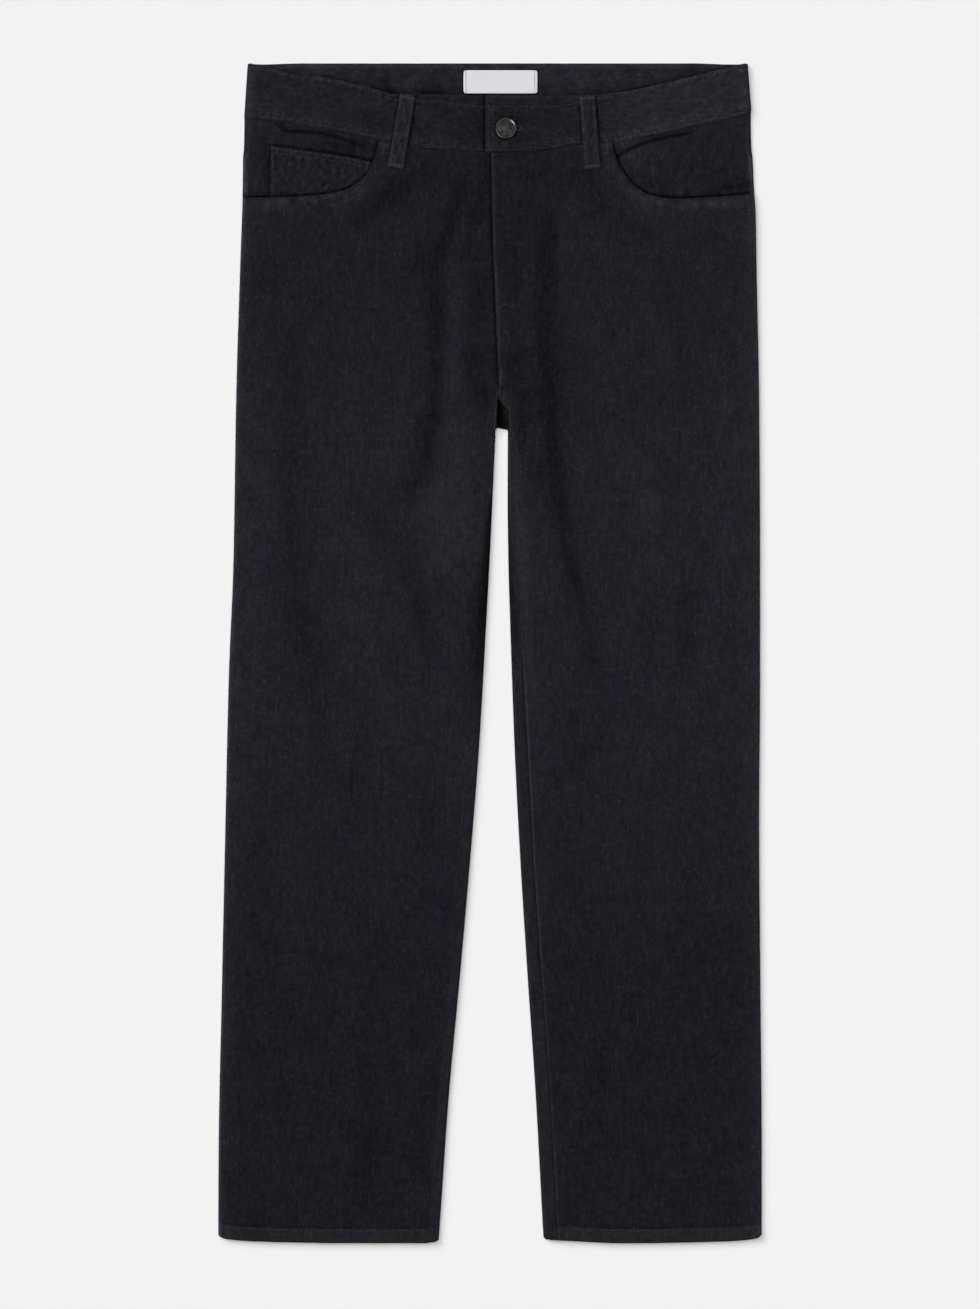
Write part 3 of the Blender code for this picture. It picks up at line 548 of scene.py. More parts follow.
def denim_cloth(name, tones):
    """Ink-dyed twill. Noise drawn out along the warp and the weft, clouds, flecks, the fine twill
    line and each point's given tone, which holds painted light and shade, add to one tone, which a
    ramp of dye colours turns into the cloth's colour."""
    material, tree, shader = new_material(name, {
        "Roughness": 0.95, "Specular IOR Level": 0.06, "Sheen Weight": 0.03, "Sheen Roughness": 0.4})
    place = place_on_cloth(tree)

    def noise(yarn, shift, detail):
        scaled = add_node(tree, "ShaderNodeMapping", {
            "Vector": place, "Scale": (1 / (yarn.across * MM), 1 / (yarn.along * MM), 1.0),
            "Location": (shift, -shift, 0.0)})
        return add_node(tree, "ShaderNodeTexNoise", {
            "Vector": scaled.outputs[0], "Scale": 1.0, "Detail": detail, "Roughness": 0.55},
            noise_dimensions="2D").outputs[0]

    def plus(value, factor, addend):
        return calculate(tree, "MULTIPLY_ADD", value, factor, addend)

    half_weights = sum(yarn.weight for yarn in YARNS) / 2
    yarn_tone = plus(noise(YARNS[0], 3.7, 2.0), YARNS[0].weight, MIDDLE_TONE - half_weights)
    for i, yarn in enumerate(YARNS[1:]):
        yarn_tone = plus(noise(yarn, 11.3 * (i + 2), 2.0), yarn.weight, yarn_tone)
    fleck = add_node(tree, "ShaderNodeMapRange", {
        "Value": noise(FLECK, 57.1, 1.0), "From Min": 0.62, "From Max": 0.80, "To Min": 0.0,
        "To Max": FLECK.weight}).outputs[0]
    pitch = TWILL_PITCH * MM
    across_twill = add_node(tree, "ShaderNodeVectorMath", {
        0: place, 1: (math.cos(TWILL_LEAN) / pitch, -math.sin(TWILL_LEAN) / pitch, 0.0)},
        operation="DOT_PRODUCT").outputs["Value"]
    uneven = plus(noise(TWILL_BREAKS, 91.0, 1.0), 1.6, across_twill)
    turns = plus(uneven, 2 * math.pi, 0.0)
    twill = calculate(tree, "SINE", turns)
    # The given tone brings in each point's painted light and shade
    dyed = calculate(tree, "ADD", calculate(tree, "ADD", yarn_tone, fleck), given_tone(tree))
    dye = colour_ramp(tree, plus(twill, TWILL_TONE, dyed), tones)
    hue = colour_ramp(tree, noise(HUE_PATCH, 23.0, 2.0), CASTS, read=lambda *shares: (*shares, 1.0))
    cast = add_node(tree, "ShaderNodeVectorMath", {0: dye, 1: hue}, operation="MULTIPLY")
    tree.links.new(cast.outputs["Vector"], shader.inputs["Base Color"])
    add_bump(tree, shader, plus(twill, 0.15, yarn_tone), 0.25, 0.5)
    return material


THREAD_TONES = ((0.25, (26, 25.5, 29)), (0.75, (50, 49, 55)))


def thread_cotton(name, tones):
    """Sewing thread: two plies as fine slant lines, and lengths that took the dye unevenly."""
    material, tree, shader = new_material(name, {"Roughness": 0.7, "Specular IOR Level": 0.3})
    place = add_node(tree, "ShaderNodeTexCoord").outputs["Object"]
    uneven = add_node(tree, "ShaderNodeTexNoise", {"Vector": place, "Scale": 0.35 / MM, "Detail": 1.0})
    tree.links.new(colour_ramp(tree, uneven.outputs[0], tones), shader.inputs["Base Color"])
    plies = add_node(tree, "ShaderNodeTexWave", {"Vector": place, "Scale": 0.25 / MM, "Distortion": 2.0},
                     bands_direction="DIAGONAL")
    add_bump(tree, shader, plies.outputs["Fac"], 0.08, 0.6)
    return material


ink_denim = denim_cloth("ink_denim", INK_TONES)
charcoal_thread = thread_cotton("charcoal_thread", THREAD_TONES)

side_seam, inner_fold, inseam = (both_sides(table) for table in (SIDE_SEAM, INNER_FOLD, INSEAM))
centre_front = smooth_curve(CENTRE_FRONT)
centre_back = smooth_curve(CENTRE_BACK)
yoke_seam = smooth_curve(YOKE_SEAM)
outer_hem_rise = smooth_curve(OUTER_HEM_RISE)
inner_hem_rise = {side: smooth_curve(INNER_HEM_RISE[side]) for side in SIDES}


def seat_lift(x, y, side):
    """How far the seat of the back lies off the surface, over its patch pockets and loops."""
    inwards = np.abs(side_seam[side](y) - x)
    return BACK_LIFT * ramp(inwards, *SEAT_SIDE_REACH) * ramp(y, *SEAT_CROTCH_REACH)


def seam_shows(y, side):
    """How plainly the inseam shows at that height: hardly near the crotch, more down the left leg."""
    if side == "right":
        return 0.1 + 0.5 * bell(y, -190.0, 75.0)
    return 0.04 + 0.96 * ramp(y, 20.0, -40.0) * (1 - 0.4 * ramp(y, -260.0, -360.0))


def front_inner(y, side):
    """Inner edge of a front panel: centre front above the crotch, the inseam below it."""
    return np.where(y >= CROTCH_Y, centre_front(y), inseam[side](y))


def front_top(y):
    """Height of the front panels' outside, a little more at the hip than along the legs."""
    return LEG_TOP + (HIP_TOP - LEG_TOP) * ramp(y, *HIP_REACH)


def fold_height(y):
    """Height of the folded side edge: lower where only the pocket facing reaches it."""
    return front_top(y) + (FACING_TOP - HIP_TOP) * ramp(y, *SCOOP_FOLD_REACH)


def hem_lift(x, side):
    """How far the hem rises towards the leg's two corners."""
    from_seam = np.abs(x - side_seam[side](HEM_Y))
    from_fold = np.abs(x - inner_fold[side](HEM_Y))
    return outer_hem_rise(from_seam) + inner_hem_rise[side](from_fold)


def bend_rows(nominal, x, top_nominal, top_y, level_y, side):
    """Row heights that follow a curved top edge and the hem, and run level between them."""
    top_weight = np.clip((nominal - level_y) / (top_nominal - level_y), 0.0, 1.0)
    hem_weight = np.clip((nominal - HEM_BEND_Y) / (HEM_Y - HEM_BEND_Y), 0.0, 1.0)
    return nominal + top_weight * (top_y - top_nominal) + hem_weight * hem_lift(x, side)


def hem_relief(y, x, side):
    """Turned hem: a little proud of the leg, pulled in along its stitches, with a fine slant pucker."""
    up = y - HEM_Y - hem_lift(x, side)
    proud = 0.3 * ramp(up, HEM_DEPTH + 1.2, HEM_DEPTH - 0.6)
    pulled = 0.35 * bell(up - HEM_DEPTH, -HEM_ROW, 0.9)
    pucker = 0.12 * ramp(up, 26.0, 10.0) * np.sin((x * 0.9 + up * 0.6) * 0.8 + 2.2 * ripple(x, y, 40.0, 5))
    return proud - pulled + pucker - 0.5 * fade(up, 0.6)


def hem_row(start, end, side):
    """The hem's row of stitches, from x start to x end."""
    x = np.linspace(start, end, 60)
    return np.stack((x, HEM_Y + hem_lift(x, side) + HEM_DEPTH - HEM_ROW), axis=1)


# Angles round the folded side edge from the seam at mid-height, and round the inner fold
FOLD_ANGLES = np.radians((2.0, 9.0, 18.0, 28.0, 39.0, 51.0, 64.0, 77.0, 90.0))
INNER_ANGLES = np.radians(np.linspace(-90.0, 90.0, 15))
SIDE_SEAM_DIP = 0.3


def side_fold(outer, radius, sign, dip=0.0):
    """x round the folded side edge: a quarter circle inwards from outer, drawn in by dip at its seam."""
    seam_dip = dip * fade(FOLD_ANGLES * radius, 0.8)
    return outer - sign * (radius * (1 - np.cos(FOLD_ANGLES)) + seam_dip)


# Rows and columns of the panels' grids: place and step at each stop
LEG_ROWS = stepped((190.0, 2.0), (150.0, 4.5), (-470.0, 5.0), (-490.0, 1.4), (HEM_Y, 1.0))
BACK_ROWS = np.concatenate((
    stepped((410.0, 0.8), (400.0, 2.0), (380.0, 4.0), (240.0, 4.0), (200.0, 3.0), (196.0, 1.0),
            (193.0, 0.8), (190.6, 1.0)), LEG_ROWS))
BACK_LEVEL_Y = 340.0
CENTRE_BACK_WEB = 8.0
FELLED_ROWS = (2.0, 8.0)    # stitches of a seam sewn down twice, from the seam
STRIP_SHARES = np.linspace(0.0, 1.0, 8)[1:]
BACK_ACROSS = stepped((0.0, 1.2), (14.0, 4.0), (190.0, 4.5), (200.0, 2.5), (204.0, 2.0)) / 204.0


def inner_shade(x, y, side):
    """How much darker a leg's inner edge is at a point, where the thigh turns down to it."""
    inwards = np.abs(x - inner_fold[side](y))
    width = column(INNER_SHADE[side], 1)(y)
    soft = 1 - ramp(inwards, 0.0 if side == "right" else 0.3 * width, 1.15 * width)
    return column(INNER_SHADE[side], 2)(y) * soft + column(INNER_SHADE[side], 3)(y) * fade(inwards, 1.2)


def back_panel(side):
    """Outside of a back panel: side fold, flat underside, round the inner fold and on to the inseam."""
    sign = SIDES[side]
    level = BACK_ROWS[:, None]
    outer = side_seam[side](level)
    side_y = bend_rows(level, outer, BACK_ROWS[0], yoke_seam(np.abs(outer)), BACK_LEVEL_Y, side)
    outer = side_seam[side](side_y)
    radius = fold_height(side_y) / 2
    fold_x = side_fold(outer, radius, sign, SIDE_SEAM_DIP)
    fold_z = radius * (1 - np.sin(FOLD_ANGLES))
    leg_share = ramp(level, 195.0, 193.2)
    leg_radius = LEG_TOP / 2
    round_x = inner_fold[side](level) + sign * leg_radius * (1 - np.cos(INNER_ANGLES))
    seam_x = front_inner(level, side) - sign * SEAM_GAP / 2
    strip_x = round_x[:, -1:] + (seam_x - round_x[:, -1:]) * STRIP_SHARES
    leg_x = np.hstack((round_x, strip_x))
    from_inseam = np.abs(strip_x - seam_x)
    shows = seam_shows(level, side)
    strip_z = LEG_TOP - shows * 0.35 * fade(from_inseam, 1.0)
    leg_z = np.hstack((leg_radius * (1 + np.sin(INNER_ANGLES)) + 0 * level, strip_z))
    middle = centre_back(level) + sign * SEAM_GAP / 2
    hip_x = middle + sign * np.linspace(CENTRE_BACK_WEB, 0.0, leg_x.shape[1])
    from_centre = np.abs(hip_x - middle)
    hip_z = 0.35 * fade(from_centre, 0.7) + 0.15 * bell(from_centre, 6.0, 0.9)
    inner_x = hip_x + (leg_x - hip_x) * leg_share
    inner_z = hip_z + (leg_z - hip_z) * leg_share
    across_x = fold_x[:, -1:] + (inner_x[:, :1] - fold_x[:, -1:]) * BACK_ACROSS[1:-1]
    x = np.hstack((fold_x, across_x, inner_x))
    seam_y = yoke_seam(np.abs(x - centre_back(level))) - SEAM_GAP / 2
    y = bend_rows(level, x, BACK_ROWS[0], seam_y, BACK_LEVEL_Y, side)
    z = np.hstack((fold_z, np.zeros_like(across_x), inner_z))
    under = np.hstack((0 * fold_z, 1 + 0 * across_x, (1 - leg_share) * (1 + 0 * leg_z)))
    z += under * seat_lift(x, y, side)
    loose = under * ramp(np.abs(x - outer), 12.0, 40.0)
    dents = crease_height(x, y, BACK_CREASES) + 0.18 * np.abs(ripple(x, y, 34.0, 21 if sign > 0 else 22))
    z += loose * dents * ramp(np.abs(x - inner_fold[side](level)), 6.0, 30.0)
    on_top = np.hstack((0 * fold_z, 0 * across_x, leg_share * (leg_z > leg_radius)))
    z += on_top * hem_relief(y, x, side) * 0.8
    grain_x = np.hstack((fold_x[:, -1:] + sign * radius * (math.pi / 2 - FOLD_ANGLES), across_x, hip_x))
    turned = round_x[:, :1] - sign * leg_radius * (INNER_ANGLES + math.pi / 2)
    flat_on = turned[:, -1:] - sign * np.abs(strip_x - round_x[:, -1:])
    grain_x[:, -leg_x.shape[1]:] = hip_x + (np.hstack((turned, flat_on)) - hip_x) * leg_share
    # On top: painted light on the inner ridges and painted shade where the thigh turns down to the inner
    # edge
    ridges = crease_height(x, y, INNER_RIDGES)
    tone = (0.02 + 0.10 * np.minimum(ridges, 1.0) - inner_shade(x, y, side)) * on_top
    # Painted light along the side fold and along the rim of the inner fold
    by_side = np.abs(x - outer) < 30.0
    edge = np.abs(x - np.where(by_side, outer, inner_fold[side](level)))
    rim = bell(edge, 1.6, 1.3) * (0.05 + 0.10 * ramp(y, 60.0, 150.0))
    tone += np.where(by_side, 0.14 * fade(edge, 1.4), rim)
    tone -= on_top * 0.04 * shows * bell(np.abs(x - seam_x), 1.0, 1.0)
    # Painted shade in the back's creases
    tone -= loose * 0.20 * crease_height(x, y, BACK_CREASES)
    return np.dstack((x, y, z)), np.dstack((grain_x, y)), tone


# Brink of the web, where each side of the fork turns down into its valley: height, right, left
WEB_BRINK = ((232.0, 6.9, 7.7), (221.0, 6.4, 7.9), (217.5, 6.1, 9.2), (214.5, 6.0, 11.2),
             (211.0, 5.8, 14.6), (207.0, 5.7, 16.2), (194.0, 5.3, 16.4))
WEB_FLOOR = 3.2
WEB_FOOT_Y = 195.5
web_brink = both_sides(WEB_BRINK)


def crotch_web(side):
    """The back's fork between the fronts' split edges: level from the inseam to its brink, then down
    into the valley of the centre back seam. The valley turns under at its foot, and the level part
    runs on to the strip inside the inseam."""
    sign = SIDES[side]
    level = stepped((229.5, 1.2), (206.0, 1.4), (WEB_FOOT_Y, 0.8))[:, None]
    start = inseam[side](level) - sign * SEAM_GAP / 2
    brink = web_brink[side](level)
    start = np.where(sign * (start - brink) < 0.4, brink + sign * 0.4, start)
    flat_x = start + (brink - start) * np.linspace(0.0, 1.0, 7)[:-1]
    share = np.linspace(0.0, 1.0, 16)
    valley_x = brink + (centre_back(level) - sign * 0.05 - brink) * share ** 1.5
    x = np.hstack((flat_x, valley_x))
    drop = (LEG_TOP - WEB_FLOOR) * ramp(level, 223.0, 212.0) * np.sin(share * math.pi / 2) ** 0.8
    z = np.hstack((LEG_TOP - 0.1 * fade(np.abs(flat_x - start), 0.8), LEG_TOP - drop))
    across = np.hstack((0 * flat_x[0], share))
    turn = np.radians((25.0, 50.0, 75.0, 90.0))[:, None]
    runs_on = ramp(across, 0.2, 0.0)
    foot_y = WEB_FOOT_Y - np.sin(turn) * 1.2 - runs_on * turn * 1.0
    foot_z = z[-1:] - (1 - runs_on) * (z[-1:] - 1.4) * (1 - np.cos(turn)) / 2 + 0.04 * runs_on
    rows_y = np.vstack((level + 0 * x, foot_y))
    points = np.dstack((np.vstack((x, x[-1:] + 0 * turn)), rows_y, np.vstack((z, foot_z))))
    points[..., 1] -= 0.2 * (points[..., 0] - 4.8) * ramp(rows_y, 206.0, 197.0) * (1 - runs_on)
    # Painted deep shade down in the valley, less on one lit patch, and painted highlights at the brink and
    # on the bridge of the fork
    deep_shade = ramp(across, 0.0, 0.2) * ramp(rows_y, 223.0, 215.0)
    rim = bell(points[..., 0] - web_brink[side](rows_y), sign * 1.2, 0.9)
    lit = bell(points[..., 0] - 0.22 * (212.0 - rows_y), 12.6, 2.3) * bell(rows_y, 206.5, 6.0)
    bridge_highlight = bell(points[..., 0], 10.5, 5.0) * bell(rows_y, 221.5, 5.5)
    tone = 0.18 * rim * ramp(rows_y, 222.0, 212.0) - (0.8 - 0.74 * lit) * deep_shade + 0.15 * bridge_highlight
    return points, points[..., :2].copy(), tone


for side, sign in SIDES.items():
    points, grain, tone = back_panel(side)
    panel = shell("leg_back_" + side, points, DENIM, grain + (0.0, 900.0), tone, ink_denim, flip=sign > 0)
    points, grain, tone = crotch_web(side)
    web = shell("web_" + side, points, DENIM, grain + (300.0, 900.0), tone, ink_denim, flip=sign < 0)
    panel = join("leg_back_" + side, panel, web)
    stands_for(panel, "back_" + side)
    rows = [hem_row(side_seam[side](HEM_Y) - sign * 5.0, inner_fold[side](HEM_Y) + sign * 2.0, side),
            along_y(side_seam[side], 392.0, -492.0, -sign * 9.0)]
    if side == "left":
        rows += [along_y(centre_back, 398.0, 204.0, row) for row in FELLED_ROWS]
    sewn = stitches("stitching_back_" + side, rows, panel, charcoal_thread, up=-1.0, seed=31)

# ---------------------------------------------------------------- Back yokes
# Two yokes that shape the seat. Each laps over its back panel and is stitched down twice, and they meet
# at centre back. They wrap round the side folds to the pocket facings.
YOKE_BAND_GAP = 0.5
YOKE_OUTER_X = 222.0
SEAT_CENTRE_X = 8.0
YOKE_LEVELS = stepped((0.0, 0.02), (0.2, 0.05), (0.7, 0.05), (1.0, 0.012))[:, None]
YOKE_ACROSS = stepped((0.0, 0.006), (0.1, 0.02), (0.9, 0.02), (1.0, 0.005))[1:]

# Bottom edge of the waistband's back layer: x, height
BACK_BAND_BOTTOM = (
    (-208.0, 461.0), (-188.0, 462.8), (180.0, 463.0), (205.0, 465.0), (222.5, 468.4),
)
back_band_bottom = smooth_curve(BACK_BAND_BOTTOM)

for side, sign in SIDES.items():
    top_y = back_band_bottom(sign * YOKE_OUTER_X) - YOKE_BAND_GAP
    level = top_y + (yoke_seam(YOKE_OUTER_X) - top_y) * YOKE_LEVELS
    radius = fold_height(level) / 2
    fold_x = side_fold(side_seam[side](level), radius, sign)
    middle = centre_back(level) + sign * SEAM_GAP / 2
    across_x = fold_x[:, -1:] + (middle - fold_x[:, -1:]) * YOKE_ACROSS
    x = np.hstack((fold_x, across_x))
    top_y = back_band_bottom(x) - YOKE_BAND_GAP
    bottom_y = yoke_seam(np.abs(x - centre_back(level))) + SEAM_GAP / 2
    y = top_y + (bottom_y - top_y) * YOKE_LEVELS
    edge = np.minimum(y - bottom_y, np.abs(x - middle) + 0.2)
    relief = 0.35 * fade(edge, 0.6) + 0.1 * np.abs(ripple(x, y, 22.0, 41)) \
        + sum(0.15 * bell(edge, row, 0.8) for row in FELLED_ROWS)
    under = ramp(np.abs(x - side_seam[side](level)), 3.0, 12.0)
    fold_z = np.hstack((radius * (1 - np.sin(FOLD_ANGLES)), 0 * across_x))
    z = fold_z + under * (seat_lift(x, y, side) + relief)
    tone = 0.12 * fade(edge, 1.5) + 0.05 * bell(edge, 5.0, 3.0)
    yoke = shell("back_yoke_panel_" + side, np.dstack((x, y, z)), DENIM,
                 np.dstack((x + 500.0, y)), tone, ink_denim, flip=sign > 0)
    stands_for(yoke, "back_yoke_" + side)
    x = np.linspace(centre_back(393.0) + sign, side_seam[side](425.0) - sign * 5.0, 50)
    lower = np.stack((x, yoke_seam(np.abs(x - SEAT_CENTRE_X))), axis=1)
    rows = [lower + (0.0, row) for row in FELLED_ROWS]
    if side == "left":
        rows += [along_y(centre_back, 460.0, 396.0, row) for row in FELLED_ROWS]
    sewn = stitches("stitching_yoke_" + side, rows, yoke, charcoal_thread, up=-1.0, seed=33)

# ---------------------------------------------------------------- Back patch pockets
# Two plain five-cornered pockets under the seat. Each has a turned mouth, edges turned in and two rows
# of stitches round it, with bars of close stitches at the mouth's corners.
PATCH_WALL = 1.0
PATCH_CENTRE_X = 102.0
PATCH_TOP_Y = 374.0
PATCH_TILT = math.radians(3.0)
PATCH_TOP_HALF = 76.0
PATCH_FOOT_HALF = 70.0
PATCH_SIDE_DEPTH = 130.0
PATCH_POINT_DEPTH = 157.0
PATCH_MOUTH = 20.0
PATCH_LIFT = 0.25          # of the face off the surface, by the threads beneath it
PATCH_ROWS = (2.0, 8.0)


def patch_half_width(v):
    """Half the width of a patch pocket, at v from its mouth to its foot."""
    return PATCH_TOP_HALF + (PATCH_FOOT_HALF - PATCH_TOP_HALF) * v


def patch_depth(u):
    """Depth of a patch pocket from its mouth to its foot, at u across it."""
    return PATCH_POINT_DEPTH + (PATCH_SIDE_DEPTH - PATCH_POINT_DEPTH) * np.abs(u)


def patch_place(u, v, side):
    """Point of a patch pocket: u from -1 to 1 across it, v from 0 at its mouth to 1 at its foot."""
    sign = SIDES[side]
    x, y = u * patch_half_width(v), -v * patch_depth(u)
    cos, sin = math.cos(sign * PATCH_TILT), math.sin(sign * PATCH_TILT)
    return SEAT_CENTRE_X + sign * PATCH_CENTRE_X + x * cos - y * sin, PATCH_TOP_Y + x * sin + y * cos


def patch_row(depth, side):
    """Path down one side of the pocket, round its foot and up the other, in by depth from its edge."""
    u_in, v_in = 1 - depth / 73.0, 1 - depth / 140.0
    foot = np.linspace(-u_in, u_in, 40)
    down = np.linspace(0.02, v_in, 40)[:-1]
    us = np.concatenate((0 * down - u_in, foot, 0 * down + u_in))
    vs = np.concatenate((down, 0 * foot + v_in, down[::-1]))
    return np.stack(patch_place(us, vs, side), axis=1)


for side, sign in SIDES.items():
    u = np.concatenate((-stepped((0.0, 0.01), (0.15, 0.04), (1.0, 0.05))[::-1],
                        stepped((0.0, 0.05), (0.85, 0.04), (1.0, 0.01))[1:]))[None, :]
    v = stepped((0.0, 0.005), (0.15, 0.02), (0.85, 0.03), (1.0, 0.006))[:, None]
    x, y = patch_place(u, v, side)
    from_side = (1 - np.abs(u)) * patch_half_width(v)
    from_foot = (1 - v) * PATCH_SIDE_DEPTH
    from_mouth = v * patch_depth(u)
    edge = np.minimum(np.minimum(from_side, from_foot), from_mouth)
    from_sewn_edge = np.minimum(from_side, from_foot)
    relief = PATCH_LIFT + 0.3 * fade(edge, 0.5) + 0.15 * bell(from_mouth, PATCH_MOUTH, 0.8) \
        + sum(0.12 * bell(from_sewn_edge, row, 0.8) for row in PATCH_ROWS)
    tone = 0.14 * fade(edge, 1.4) + 0.04 * ramp(from_mouth, PATCH_MOUTH + 1, PATCH_MOUTH - 1)
    patch = shell("patch_pocket_" + side, np.dstack((x, y, relief + 0 * x)), PATCH_WALL,
                  np.dstack((x, y + 40.0)), tone, ink_denim, flip=False, bulge=0.1)
    stands_for(patch, "back_pocket_" + side)
    us = np.linspace(-0.96, 0.96, 30)
    mouth = np.stack(patch_place(us, PATCH_MOUTH / patch_depth(us), side), axis=1)
    rows = [patch_row(depth, side) for depth in PATCH_ROWS] + [mouth]
    for end in (-0.93, 0.93):
        rows += bar_tack(*patch_place(end, 0.035, side), length=7.0, lean=90.0)
    sewn = stitches("stitching_patch_" + side, rows, patch, charcoal_thread, up=-1.0, seed=34)

# ---------------------------------------------------------------- Front leg panels
# Two panels of the same denim, seen whole. Each has a scooped pocket opening turned under and stitched
# twice, the left one laps over the right at the fly, and soft creases run down from the hips.
FRONT_BAND_GAP = 0.4
FLY_RAISE = 0.8
FLY_REACH = (42.0, 30.0)
FLY_FOOT_REACH = (232.0, 262.0)
FLY_WIDTH = 34.0
FLY_TURN_Y = 334.0
FLY_TURN_DEPTH = 36.0
FLY_TOP_Y = 432.0
FRONT_LEVEL_Y = 350.0
SCOOP_REACH = (340.0, 384.0)    # heights over which the turned scooped edge takes its form
PAST_ALL = 999.0           # x past every edge, where each curve keeps the value of its end
CORNER_SHARE = 0.58        # of the panel's width from its side fold, where the scoop meets the waistband

# Edges of the waistband's front layer: x, top, bottom
BAND_EDGES = (
    (-208.0, 506.3, 460.4), (-190.0, 503.6, 458.4), (-172.0, 499.0, 456.2), (-142.0, 495.3, 451.0),
    (-111.0, 488.7, 444.8), (-78.0, 481.0, 438.2), (-37.0, 480.8, 432.8), (0.4, 479.6, 430.8),
    (42.0, 479.4, 432.4), (78.0, 479.8, 437.4), (108.0, 482.1, 439.6), (141.0, 488.3, 446.0),
    (175.0, 496.4, 453.6), (205.0, 503.6, 459.8), (222.5, 506.3, 465.6),
)
